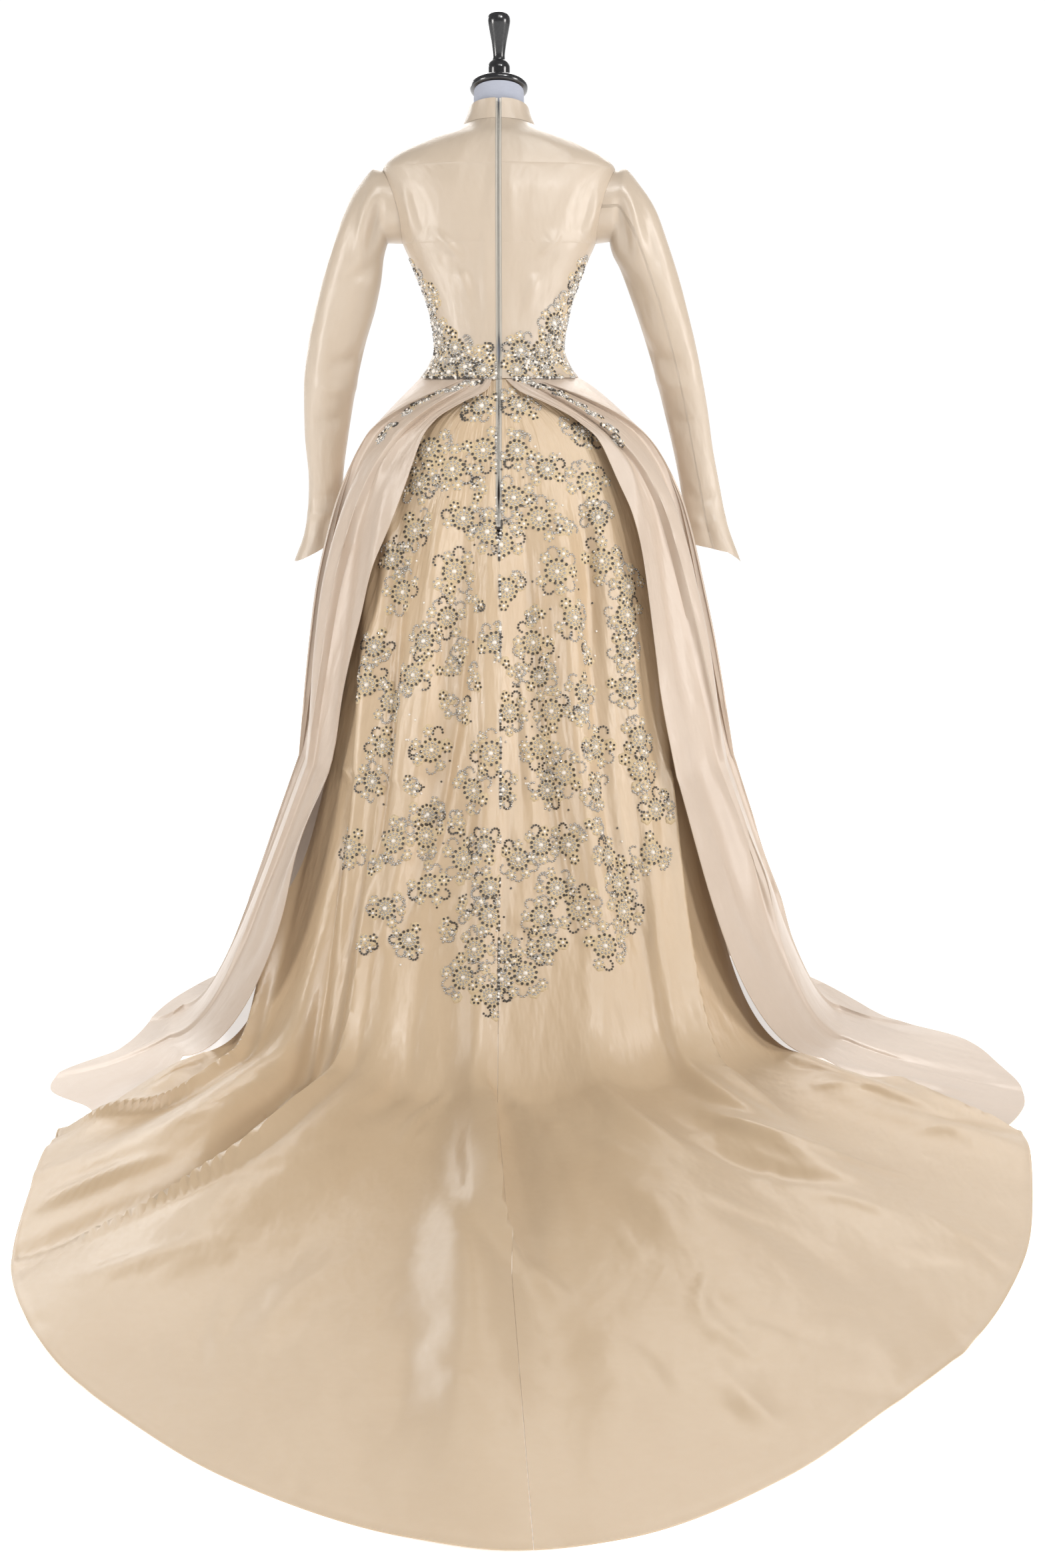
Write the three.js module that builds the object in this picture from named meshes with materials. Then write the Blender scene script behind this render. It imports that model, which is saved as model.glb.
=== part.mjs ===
// A long-sleeved satin wedding dress with a train, standing on a limbless dress form.
// Millimetres, +Z up, floor at z = 0. The form's pole stands on the origin.
// The wearer faces +Y and the train runs out along -Y, so the wearer's left is -X.
// Angles go round the pole from the centre back (0) to the right (90) and the front (180).
import * as THREE from "three";

// Driving sizes
const CLOTH = 1.2;
const TRAIN_CLOTH = 1.8;
const SEAM = 0.3;
const FORM_GAP = 3;
const BULGE = 2.2;
const WAIST = 1020;
const NECKLINE = 1404;
const KNEE = 420;
const SIDE_SEAM = 100;
const ZIP_HALF = 4.5;
const ZIP_END = 800;
const SEGMENTS = 24;

// Torso under the bodice's outer face: one row per level, half width and depth either way
const TORSO = [
  { z: 1404, half: 58, back: 55, front: 52 },
  { z: 1392, half: 82, back: 64, front: 56 },
  { z: 1375, half: 128, back: 78, front: 62 },
  { z: 1352, half: 165, back: 90, front: 68 },
  { z: 1334, half: 178, back: 96, front: 76 },
  { z: 1300, half: 174, back: 101, front: 96 },
  { z: 1262, half: 164, back: 100, front: 116 },
  { z: 1217, half: 147, back: 95, front: 128 },
  { z: 1187, half: 133, back: 91, front: 124 },
  { z: 1157, half: 121, back: 87, front: 114 },
  { z: 1127, half: 110, back: 83, front: 102 },
  { z: 1096, half: 104, back: 80, front: 92 },
  { z: 1066, half: 101, back: 78, front: 86 },
  { z: 1035, half: 112, back: 84, front: 90 },
  { z: 1020, half: 123, back: 91, front: 95 },
];

// Stand collar's outer face
const COLLAR = [
  { z: 1404.3, half: 58, back: 55, front: 52 },
  { z: 1415, half: 53.5, back: 52, front: 49 },
  { z: 1426, half: 49, back: 49, front: 46.5 },
  { z: 1437, half: 46, back: 46.5, front: 44 },
];

// Neck and hips of the form, above and below what the bodice covers
const FORM_NECK = [
  { z: 1466, half: 38, back: 38, front: 37 },
  { z: 1440, half: 39, back: 39, front: 38 },
  { z: 1424, half: 41, back: 41, front: 39 },
  { z: 1412, half: 46, back: 46, front: 43 },
];
const FORM_HIPS = [
  { z: 1000, half: 122, back: 90, front: 92 },
  { z: 940, half: 148, back: 104, front: 98 },
  { z: 880, half: 160, back: 110, front: 100 },
  { z: 825, half: 158, back: 108, front: 97 },
  { z: 798, half: 150, back: 101, front: 91 },
  { z: 790, half: 143, back: 96, front: 86 },
];

// How steeply the neck slopes down to the front, by level
const NECK_SLOPE = [
  { z: 1320, slope: 0 },
  { z: 1404, slope: 0.3 },
  { z: 1466, slope: 0.38 },
];
const NECK_BACK = 55;

// Armhole: an oval seen from the side
const ARMHOLE = { z: 1278, high: 57, back: 44, front: 47, steps: 8 };

// Sleeves: each row is a ring from its outer edge to its under edge, with its depth and place fore and aft
const SLEEVE_LEFT = [
  { outX: 190, outZ: 1334, underX: 171, underZ: 1222, depth: 86, y: 0, point: 0 },
  { outX: 217, outZ: 1306, underX: 175, underZ: 1214, depth: 84, y: 1, point: 0 },
  { outX: 240, outZ: 1268, underX: 179, underZ: 1198, depth: 82, y: 3, point: 0 },
  { outX: 262, outZ: 1211, underX: 183, underZ: 1168, depth: 78, y: 7, point: 0 },
  { outX: 282, outZ: 1145, underX: 193, underZ: 1124, depth: 73, y: 14, point: 0 },
  { outX: 299, outZ: 1075, underX: 212, underZ: 1064, depth: 67, y: 24, point: 0 },
  { outX: 310, outZ: 1002, underX: 229, underZ: 994, depth: 60, y: 39, point: 0 },
  { outX: 312, outZ: 928, underX: 243, underZ: 922, depth: 52, y: 58, point: 0 },
  { outX: 309, outZ: 862, underX: 253, underZ: 860, depth: 45, y: 76, point: 0 },
  { outX: 312, outZ: 812, underX: 256, underZ: 814, depth: 42, y: 88, point: 0 },
  { outX: 319, outZ: 774, underX: 258, underZ: 784, depth: 43, y: 95, point: 4 },
  { outX: 337, outZ: 733, underX: 260, underZ: 754, depth: 44, y: 100, point: 12 },
];
const SLEEVE_RIGHT = [
  { outX: 191, outZ: 1335, underX: 170, underZ: 1224, depth: 86, y: 0, point: 0 },
  { outX: 218, outZ: 1307, underX: 172, underZ: 1216, depth: 84, y: 1, point: 0 },
  { outX: 240, outZ: 1275, underX: 176, underZ: 1204, depth: 82, y: 3, point: 0 },
  { outX: 263, outZ: 1217, underX: 187, underZ: 1184, depth: 77, y: 7, point: 0 },
  { outX: 284, outZ: 1155, underX: 204, underZ: 1142, depth: 71, y: 14, point: 0 },
  { outX: 301, outZ: 1092, underX: 226, underZ: 1082, depth: 65, y: 24, point: 0 },
  { outX: 317, outZ: 1028, underX: 246, underZ: 1020, depth: 58, y: 39, point: 0 },
  { outX: 331, outZ: 968, underX: 263, underZ: 960, depth: 52, y: 58, point: 0 },
  { outX: 342, outZ: 906, underX: 279, underZ: 900, depth: 46, y: 76, point: 0 },
  { outX: 355, outZ: 846, underX: 291, underZ: 846, depth: 44, y: 88, point: 0 },
  { outX: 369, outZ: 788, underX: 299, underZ: 798, depth: 45, y: 95, point: 4 },
  { outX: 393, outZ: 732, underX: 304, underZ: 752, depth: 46, y: 100, point: 13 },
];

// Outer skirt from the waist to the knee: half width, lean to the right, depth either way
const SKIRT = [
  { z: 1019, half: 123, lean: 0, back: 91, front: 95 },
  { z: 1004, half: 142, lean: 5, back: 104, front: 105 },
  { z: 974, half: 174, lean: 8, back: 122, front: 120 },
  { z: 943, half: 201, lean: 10, back: 136, front: 134 },
  { z: 912, half: 221, lean: 13, back: 148, front: 148 },
  { z: 865, half: 244, lean: 15, back: 164, front: 166 },
  { z: 818, half: 263, lean: 16, back: 178, front: 184 },
  { z: 723, half: 289, lean: 16, back: 204, front: 216 },
  { z: 600, half: 313, lean: 20, back: 232, front: 250 },
  { z: 420, half: 340, lean: 26, back: 268, front: 294 },
];

// Outer skirt on the floor: reach from the pole where it lands and at its hem, by angle
const SKIRT_FLOOR = [
  { angle: 44, leftLand: 560, leftHem: 800, rightLand: 575, rightHem: 918 },
  { angle: 50, leftLand: 560, leftHem: 772, rightLand: 575, rightHem: 920 },
  { angle: 56, leftLand: 560, leftHem: 785, rightLand: 575, rightHem: 908 },
  { angle: 61, leftLand: 560, leftHem: 755, rightLand: 575, rightHem: 880 },
  { angle: 67, leftLand: 556, leftHem: 640, rightLand: 575, rightHem: 825 },
  { angle: 75, leftLand: 545, leftHem: 590, rightLand: 572, rightHem: 756 },
  { angle: 82, leftLand: 532, leftHem: 568, rightLand: 565, rightHem: 630 },
  { angle: 90, leftLand: 515, leftHem: 548, rightLand: 550, rightHem: 590 },
  { angle: 100, leftLand: 496, leftHem: 526, rightLand: 530, rightHem: 560 },
  { angle: 140, leftLand: 440, leftHem: 465, rightLand: 450, rightHem: 475 },
  { angle: 180, leftLand: 405, leftHem: 428, rightLand: 405, rightHem: 428 },
];

// Overskirt by level: angle of its free edge each side, of its two tucks, and how far a tuck stands out
const OVERSKIRT = [
  { z: 1019, left: 5, right: 5, lower: 14, upper: 26, tuck: 0.5 },
  { z: 1004, left: 9, right: 9, lower: 24, upper: 38, tuck: 5 },
  { z: 985, left: 22, right: 22, lower: 34, upper: 52, tuck: 9 },
  { z: 960, left: 33, right: 34, lower: 43, upper: 66, tuck: 11 },
  { z: 930, left: 37, right: 40, lower: 50, upper: 78, tuck: 12 },
  { z: 865, left: 39, right: 42, lower: 58, upper: 86, tuck: 12 },
  { z: 746, left: 44, right: 44, lower: 62, upper: 87, tuck: 11 },
  { z: 560, left: 54, right: 44, lower: 66, upper: 87, tuck: 10 },
  { z: 420, left: 60, right: 46, lower: 70, upper: 87, tuck: 9 },
];
const OVERSKIRT_LAND = { left: 60, right: 59.5, lower: 70, upper: 86, tuck: 5 };
const OVERSKIRT_SWAY = 5.8;
const OVERSKIRT_HEM = { left: 46.5, right: 47, lower: 61, upper: 80, tuck: 2 };

// Across an overskirt half, from its free edge (0) to the side seam (1): how far each line stands proud
const TUCKS = [
  { across: 0, proud: 0.4 },
  { across: 0.1, proud: 0.25 },
  { across: 0.2, proud: 0.1 },
  { across: 0.28, proud: 0 },
  { across: 0.31, proud: 1 },
  { across: 0.4, proud: 0.65 },
  { across: 0.5, proud: 0.25 },
  { across: 0.58, proud: 0 },
  { across: 0.61, proud: 1 },
  { across: 0.7, proud: 0.75 },
  { across: 0.8, proud: 0.4 },
  { across: 0.9, proud: 0.12 },
  { across: 1, proud: 0 },
];
const TUCK_LINES = { lower: 0.3, upper: 0.6 };

// Back panel and train: how far it hangs inside the outer skirt, by level
const PANEL_INSET = [
  { z: 1019, inset: 3 },
  { z: 1004, inset: 8 },
  { z: 974, inset: 14 },
  { z: 912, inset: 19 },
  { z: 818, inset: 24 },
  { z: 600, inset: 28 },
  { z: 420, inset: 30 },
];
const PANEL_OVERLAP = 12;
const PANEL_TOP_EDGE = 30;
const PANEL_LAND = { left: 56.8, seam: 0, right: 57.2, centreReach: 510, edgeReach: 540 };
const PANEL_HEM = { left: 43.8, seam: 1.6, right: 49.1 };
const PANEL_LIFT = 5;

// Train's hem on the floor: reach from the pole by angle
const TRAIN_HEM = [
  { angle: -43.8, reach: 871 },
  { angle: -35.3, reach: 1027 },
  { angle: -27.7, reach: 1216 },
  { angle: -20.5, reach: 1365 },
  { angle: -14.7, reach: 1460 },
  { angle: -9.3, reach: 1550 },
  { angle: -2.4, reach: 1638 },
  { angle: 0.7, reach: 1660 },
  { angle: 4.5, reach: 1642 },
  { angle: 10.8, reach: 1557 },
  { angle: 15.9, reach: 1468 },
  { angle: 21.7, reach: 1377 },
  { angle: 29.9, reach: 1242 },
  { angle: 39.5, reach: 1086 },
  { angle: 49.1, reach: 958 },
];

// Folds of the back panel, left to right: place across it and rise at the hip, knee, floor, train and hem
const PANEL_FOLDS = [
  { hip: -0.92, knee: -0.94, land: -0.97, train: -0.94, hem: -0.92, wide: 0.07, rises: [0, 6, 12, 32, 10] },
  { hip: -0.74, knee: -0.72, land: -0.7, train: -0.68, hem: -0.82, wide: 0.1, rises: [4, 16, 38, 46, 14] },
  { hip: -0.4, knee: -0.45, land: -0.4, train: -0.43, hem: -0.56, wide: 0.11, rises: [6, 20, 34, 40, 10] },
  { hip: -0.06, knee: -0.07, land: -0.07, train: -0.06, hem: -0.04, wide: 0.055, rises: [4, 16, 26, 34, 3] },
  { hip: 0.34, knee: 0.42, land: 0.3, train: 0.3, hem: 0.34, wide: 0.12, rises: [6, 18, 24, 20, 6] },
  { hip: 0.7, knee: 0.66, land: 0.57, train: 0.55, hem: 0.6, wide: 0.09, rises: [4, 16, 38, 32, 6] },
  { hip: 0.92, knee: 0.94, land: 0.95, train: 0.9, hem: 0.92, wide: 0.07, rises: [0, 6, 12, 34, 12] },
];
const FOLD_STAGES = [0.33, 1, 2, 2.3, 3];

// Front skirt's soft flutes
const FLUTES = { count: 6, hip: 0, knee: 9, floor: 12 };

// Turned pieces: radius by level, top to bottom
const CAP = { y: -1, z: 1446.5, tilt: 0.38 };
const CAP_PROFILE = [
  { z: 13, radius: 12 },
  { z: 12.5, radius: 36 },
  { z: 10, radius: 42.5 },
  { z: 6, radius: 44 },
  { z: 2, radius: 43 },
  { z: 0, radius: 40 },
];
const FINIAL_PROFILE = [
  { z: 1563, radius: 6 },
  { z: 1561, radius: 12 },
  { z: 1556, radius: 16.2 },
  { z: 1549, radius: 17.5 },
  { z: 1536, radius: 15.4 },
  { z: 1516, radius: 11.4 },
  { z: 1499, radius: 9.2 },
  { z: 1494, radius: 9.6 },
  { z: 1490, radius: 13.5 },
  { z: 1482, radius: 17 },
  { z: 1475, radius: 17 },
];
const POLE_PROFILE = [
  { z: 789.7, radius: 16 },
  { z: 36.3, radius: 16 },
];
const FOOT_PROFILE = [
  { z: 36, radius: 26 },
  { z: 24, radius: 32 },
  { z: 18, radius: 60 },
  { z: 12, radius: 162 },
  { z: 8, radius: 170 },
  { z: 0, radius: 170 },
];

// Rows of cloth from waist to hem: 0 to 1 falls to the knee, 1 to 2 lands on the floor, 2 to 3 lies on it
const FALL_LEVELS = [1019, 1004, 985, 960, 930, 890, 845, 800, 775, 700, 610, 510, 420];
const LANDING_ROWS = [0.15, 0.3, 0.44, 0.58, 0.72, 0.86, 1];
const TRAIN_ROWS = [0.14, 0.28, 0.42, 0.56, 0.71, 0.86, 1];
const SHORT_ROWS = [0.5, 1];
const WING_ROWS = [0.2, 0.4, 0.6, 0.8, 1];

const degrees = Math.PI / 180;
const up = new THREE.Vector3(0, 0, 1);
const mix = (from, to, share) => from + (to - from) * share;
const power = (value, exponent) => Math.sign(value) * Math.abs(value) ** exponent;
const ease = (share) => share * share * (3 - 2 * share);
const clamp01 = (value) => Math.min(1, Math.max(0, value));

// A smooth line through one column of a table
function smooth(table, key, column) {
  const at = table.map((row) => row[key]);
  const value = table.map((row) => row[column]);
  const step = at.slice(1).map((next, i) => (value[i + 1] - value[i]) / (next - at[i]));
  const slope = at.map((_, i) => {
    if (i === 0) return step[0];
    if (i === at.length - 1) return step[i - 1];
    const [before, after] = [step[i - 1], step[i]];
    return before * after <= 0 ? 0 : (2 * before * after) / (before + after);
  });
  const direction = Math.sign(at[at.length - 1] - at[0]);
  return (wanted) => {
    let i = 0;
    while (i < at.length - 2 && (wanted - at[i + 1]) * direction > 0) i += 1;
    const span = at[i + 1] - at[i];
    const t = clamp01((wanted - at[i]) / span);
    const u = 1 - t;
    const start = value[i] * (1 + 2 * t) + slope[i] * span * t;
    const end = value[i + 1] * (3 - 2 * t) - slope[i + 1] * span * u;
    return start * u * u + end * t * t;
  };
}

// A function giving a whole row of a table at any level
function smoothRows(table, key) {
  const columns = Object.keys(table[0]).filter((name) => name !== key);
  const lines = columns.map((name) => smooth(table, key, name));
  return (wanted) => Object.fromEntries(columns.map((name, i) => [name, lines[i](wanted)]));
}

const torsoAt = smoothRows(TORSO, "z");
const collarAt = smoothRows(COLLAR, "z");
const neckSlopeAt = smooth(NECK_SLOPE, "z", "slope");
const skirtAt = smoothRows(SKIRT, "z");
const skirtFloorAt = smoothRows(SKIRT_FLOOR, "angle");
const overskirtAt = smoothRows(OVERSKIRT, "z");
const panelInsetAt = smooth(PANEL_INSET, "z", "inset");
const trainHemAt = smooth(TRAIN_HEM, "angle", "reach");
const proudAt = smooth(TUCKS, "across", "proud");

// A point on a rounded section, lowered towards the front near the neck
function bodyPoint(row, z, angle) {
  const x = row.half * power(Math.sin(angle), 2 / BULGE);
  const depth = Math.cos(angle) > 0 ? row.back : row.front;
  const y = -depth * power(Math.cos(angle), 2 / BULGE);
  return new THREE.Vector3(x, y, z - neckSlopeAt(z) * (y + NECK_BACK));
}

// The angle at which a body section reaches a given distance behind or before the side line
const angleAtDepth = (distance, depth) => Math.acos(clamp01(distance / depth) ** (BULGE / 2));

// The angle at which a body section is a given distance from its middle line
const angleAtSide = (distance, half) => Math.asin(clamp01(distance / half) ** (BULGE / 2));

// Outward unit normals of a grid whose rows run down and columns run right as seen from outside
function normalsOf(grid, wrap) {
  const lastRow = grid.length - 1;
  const count = grid[0].length;
  return grid.map((line, r) => line.map((_, c) => {
    const above = grid[Math.max(r - 1, 0)][c];
    const below = grid[Math.min(r + 1, lastRow)][c];
    const before = wrap ? line[(c + count - 1) % count] : line[Math.max(c - 1, 0)];
    const after = wrap ? line[(c + 1) % count] : line[Math.min(c + 1, count - 1)];
    const down = below.clone().sub(above);
    return down.cross(after.clone().sub(before)).normalize();
  }));
}

// A grid moved inward along its normals
function inset(grid, distance, wrap) {
  const normals = normalsOf(grid, wrap);
  return grid.map((line, r) => line.map((point, c) => point.clone().addScaledVector(normals[r][c], -distance)));
}

// Two triangles for a four-cornered face
function addQuad(corners, a, b, c, d) {
  corners.push(a, b, c, a, c, d);
}

// The outward faces of a grid
function addSheet(corners, grid, wrap) {
  const count = grid[0].length;
  for (let r = 0; r < grid.length - 1; r += 1) {
    for (let c = 0; c < (wrap ? count : count - 1); c += 1) {
      const next = (c + 1) % count;
      addQuad(corners, grid[r][c], grid[r + 1][c], grid[r + 1][next], grid[r][next]);
    }
  }
}

// A geometry from a list of triangle corners
function geometryOf(corners) {
  const geometry = new THREE.BufferGeometry().setFromPoints(corners);
  geometry.computeVertexNormals();
  return geometry;
}

// A closed cloth wall: the outer grid, the same grid moved in, and the cut edges between
function clothWall(outer, wrap = false, thick = CLOTH) {
  const inner = inset(outer, thick, wrap);
  const last = outer.length - 1;
  const count = outer[0].length;
  const end = count - 1;
  const corners = [];
  addSheet(corners, outer, wrap);
  addSheet(corners, inner.map((line) => [...line].reverse()), wrap);
  for (let c = 0; c < (wrap ? count : end); c += 1) {
    const n = (c + 1) % count;
    addQuad(corners, outer[0][c], outer[0][n], inner[0][n], inner[0][c]);
    addQuad(corners, outer[last][n], outer[last][c], inner[last][c], inner[last][n]);
  }
  if (wrap) return geometryOf(corners);
  for (let r = 0; r < last; r += 1) {
    addQuad(corners, outer[r + 1][0], outer[r][0], inner[r][0], inner[r + 1][0]);
    addQuad(corners, outer[r][end], outer[r + 1][end], inner[r + 1][end], inner[r][end]);
  }
  return geometryOf(corners);
}

// A closed body from rings listed top to bottom
function ringBody(rings) {
  const corners = [];
  addSheet(corners, rings, true);
  const middle = (ring) => ring.reduce((sum, p) => sum.add(p), new THREE.Vector3()).divideScalar(ring.length);
  const [top, bottom] = [rings[0], rings[rings.length - 1]];
  const [topMiddle, bottomMiddle] = [middle(top), middle(bottom)];
  top.forEach((point, c) => corners.push(topMiddle, point, top[(c + 1) % top.length]));
  bottom.forEach((point, c) => corners.push(bottomMiddle, bottom[(c + 1) % bottom.length], point));
  return geometryOf(corners);
}

const ringAngles = Array.from({ length: SEGMENTS }, (_, i) => (2 * Math.PI * i) / SEGMENTS);

// Rings of a piece turned about the Z axis
function turnedRings(profile) {
  return profile.map(({ z, radius }) => ringAngles.map(
    (angle) => new THREE.Vector3(radius * Math.sin(angle), -radius * Math.cos(angle), z),
  ));
}

// Levels of the bodice, from the neck down; those beside the armhole match the sleeve's ring
function bodiceLevels() {
  const above = [1404, 1392, 1375, 1352];
  const turns = Array.from({ length: ARMHOLE.steps + 1 }, (_, i) => Math.PI * (0.5 - i / ARMHOLE.steps));
  const beside = turns.map((turn) => ARMHOLE.z + ARMHOLE.high * Math.sin(turn));
  const below = [1187, 1157, 1127, 1096, 1066, 1042, WAIST];
  return [...above, ...beside, ...below];
}

// Distance of the armhole's edge from the side line at a level
function armholeDepth(z, depth) {
  const rise = (z - ARMHOLE.z) / ARMHOLE.high;
  return Math.abs(rise) < 1 ? Math.max(SEAM, depth * Math.sqrt(1 - rise * rise)) : SEAM;
}

// One row of bodice points between two angles
function bodiceRow(z, from, to, columns) {
  const row = torsoAt(z);
  return Array.from({ length: columns + 1 }, (_, i) => bodyPoint(row, z, mix(from, to, i / columns)));
}

// Half of the bodice back: side is -1 for the left, +1 for the right
function bodiceBack(side) {
  const grid = bodiceLevels().map((z) => {
    const row = torsoAt(z);
    const outer = angleAtDepth(armholeDepth(z, ARMHOLE.back), row.back);
    const centre = angleAtSide(ZIP_HALF, row.half);
    return side < 0 ? bodiceRow(z, -outer, -centre, 8) : bodiceRow(z, centre, outer, 8);
  });
  return clothWall(grid);
}

// The bodice front, from the right side seam round to the left
function bodiceFront() {
  const grid = bodiceLevels().map((z) => {
    const outer = Math.PI - angleAtDepth(armholeDepth(z, ARMHOLE.front), torsoAt(z).front);
    return bodiceRow(z, outer, 2 * Math.PI - outer, 16);
  });
  return clothWall(grid);
}

// The stand collar, one band from the left of the zip round the front to the right of it
function collarBand() {
  const grid = [...COLLAR].reverse().map((row) => {
    const centre = angleAtSide(ZIP_HALF, row.half);
    return Array.from({ length: 25 }, (_, i) => bodyPoint(row, row.z, mix(centre, 2 * Math.PI - centre, i / 24)));
  });
  return clothWall(grid);
}

// A sleeve: its first ring lies in the armhole, the others follow the table
function sleeve(side, rows) {
  const count = 2 * ARMHOLE.steps;
  const turns = Array.from({ length: count }, (_, i) => (2 * Math.PI * i) / count);
  const head = turns.map((turn) => {
    const across = -side * Math.cos(turn);
    const reach = (across < 0 ? ARMHOLE.back : ARMHOLE.front) - SEAM;
    const z = ARMHOLE.z + (ARMHOLE.high - SEAM) * Math.sin(turn);
    const row = torsoAt(z);
    const depth = across < 0 ? row.back : row.front;
    const fromSide = angleAtDepth(Math.abs(across) * reach, depth);
    return bodyPoint(row, z, side * (across < 0 ? fromSide : Math.PI - fromSide));
  });
  const rings = rows.map((row) => turns.map((turn) => {
    const share = (1 + Math.sin(turn)) / 2;
    const dip = row.point * Math.max(0, Math.sin(turn - side * 0.5 * Math.sign(Math.cos(turn))));
    return new THREE.Vector3(
      side * mix(row.underX, row.outX, share),
      row.y - side * (row.depth / 2) * Math.cos(turn),
      mix(row.underZ, row.outZ, share) - dip,
    );
  }));
  return clothWall([head, ...rings], true);
}

// A point of the outer skirt above the knee
function fallPoint(z, angle, outset) {
  const row = skirtAt(z);
  const depth = (Math.cos(angle) > 0 ? row.back : row.front) + outset;
  return new THREE.Vector3(row.lean + (row.half + outset) * Math.sin(angle), -depth * Math.cos(angle), z);
}

// Half of a seam's opening as an angle in degrees at a distance from the pole
const seamTurn = (radius) => SEAM / radius / degrees;

const onFloor = (angle, reach, z) => new THREE.Vector3(reach * Math.sin(angle), -reach * Math.cos(angle), z);

// A point on one strand of cloth that falls from the waist, lands and lies on the floor.
// The strand gives its angle and inset by level, its flare, its landing and its way over the floor.
// Rise moves the cloth outward or up.
function strandPoint(strand, along, rise) {
  if (along <= 1) {
    const z = mix(FALL_LEVELS[0], KNEE, along);
    return fallPoint(z, strand.angleAt(z), rise - strand.insetAt(z));
  }
  if (along > 2) return strand.floorAt(along - 2).addScaledVector(up, rise);
  const share = along - 1;
  const knee = fallPoint(KNEE, strand.angleAt(KNEE), -strand.insetAt(KNEE));
  const out = strand.landing.clone().sub(knee).setZ(0);
  const first = knee.clone().addScaledVector(out, strand.flare).addScaledVector(up, -0.42 * KNEE);
  const second = strand.landing.clone().addScaledVector(out, strand.flare - 0.62);
  const point = new THREE.CubicBezierCurve3(knee, first, second, strand.landing).getPoint(share);
  const flat = ease(share);
  return point.addScaledVector(out.normalize(), rise * (1 - flat)).addScaledVector(up, rise * flat);
}

const alongLevel = (z) => (FALL_LEVELS[0] - z) / (FALL_LEVELS[0] - KNEE);
const rowsDown = (floorRows) => [
  ...FALL_LEVELS.map(alongLevel),
  ...LANDING_ROWS.map((share) => 1 + share),
  ...floorRows.map((share) => 2 + share),
];

// Angle of a place across an overskirt half, from its edge, tucks and the side seam
function overskirtAngle(row, edge, across, seam) {
  const stops = [
    { across: 0, angle: edge },
    { across: TUCK_LINES.lower, angle: row.lower },
    { across: TUCK_LINES.upper, angle: row.upper },
    { across: 1, angle: seam },
  ];
  const i = stops.findIndex((stop) => stop.across >= across - 1e-9) || 1;
  const [before, after] = [stops[i - 1], stops[i]];
  return mix(before.angle, after.angle, (across - before.across) / (after.across - before.across));
}

// Half of the overskirt: two tucks sweep from the zip over the hip, and the hem trails on the floor.
// Its free edge sways in over the back panel on the way down.
function overskirt(side) {
  const name = side < 0 ? "left" : "right";
  const floor = skirtFloorAt(SIDE_SEAM);
  const strands = TUCKS.map(({ across }) => {
    const angleOf = (row, radius) => overskirtAngle(row, row[name], across, SIDE_SEAM - seamTurn(radius));
    const landAngle = angleOf(OVERSKIRT_LAND, floor[`${name}Land`]);
    const hemAngle = angleOf(OVERSKIRT_HEM, floor[`${name}Hem`]);
    const landReach = skirtFloorAt(landAngle)[`${name}Land`];
    const hemReach = skirtFloorAt(hemAngle)[`${name}Hem`];
    return {
      angleAt: (z) => side * angleOf(overskirtAt(z), skirtAt(z).half) * degrees,
      insetAt: () => 0,
      flare: 0.32,
      landing: onFloor(side * landAngle * degrees, landReach, CLOTH),
      floorAt: (share) => {
        const turn = mix(landAngle, hemAngle, 1 - (1 - share) ** 2.5);
        return onFloor(side * turn * degrees, mix(landReach, hemReach, share), CLOTH);
      },
    };
  });
  const tuckAt = (along) => {
    if (along <= 1) return overskirtAt(mix(FALL_LEVELS[0], KNEE, along)).tuck;
    if (along <= 2) return mix(overskirtAt(KNEE).tuck, OVERSKIRT_LAND.tuck, along - 1);
    return mix(OVERSKIRT_LAND.tuck, OVERSKIRT_HEM.tuck, along - 2);
  };
  const grid = rowsDown(WING_ROWS).map((along) => {
    const sway = OVERSKIRT_SWAY * degrees * Math.sin(Math.PI * clamp01(along - 1));
    const line = TUCKS.map((row, i) => {
      const point = strandPoint(strands[i], along, row.proud * tuckAt(along));
      return point.applyAxisAngle(up, -side * sway * (1 - row.across) ** 3);
    });
    return side < 0 ? line.reverse() : line;
  });
  return clothWall(grid);
}

// The front skirt, from the right side seam round to the left, in soft flutes
function skirtFront() {
  const columns = 24;
  const turnAt = (share, radius) => {
    const from = SIDE_SEAM + seamTurn(radius);
    return mix(from, 360 - from, share);
  };
  const grid = rowsDown(SHORT_ROWS).map((along) => Array.from({ length: columns + 1 }, (_, i) => {
    const share = i / columns;
    const side = share < 0.5 ? "right" : "left";
    const turn = turnAt(share, skirtFloorAt(SIDE_SEAM)[`${side}Land`]);
    const floor = skirtFloorAt(Math.min(turn, 360 - turn));
    const strand = {
      angleAt: (z) => turnAt(share, skirtAt(z).half) * degrees,
      insetAt: () => 0,
      flare: 0.32,
      landing: onFloor(turn * degrees, floor[`${side}Land`], CLOTH),
      floorAt: (way) => onFloor(turn * degrees, mix(floor[`${side}Land`], floor[`${side}Hem`], way), CLOTH),
    };
    const wave = (1 - Math.cos(2 * Math.PI * FLUTES.count * share)) / 2;
    const deep = along < 1 ? mix(FLUTES.hip, FLUTES.knee, ease(along)) : mix(FLUTES.knee, FLUTES.floor, along - 1);
    const settle = along > 2 ? 3 - along : 1;
    return strandPoint(strand, along, wave * Math.min(deep, FLUTES.floor) * settle);
  }));
  return clothWall(grid);
}

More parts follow.
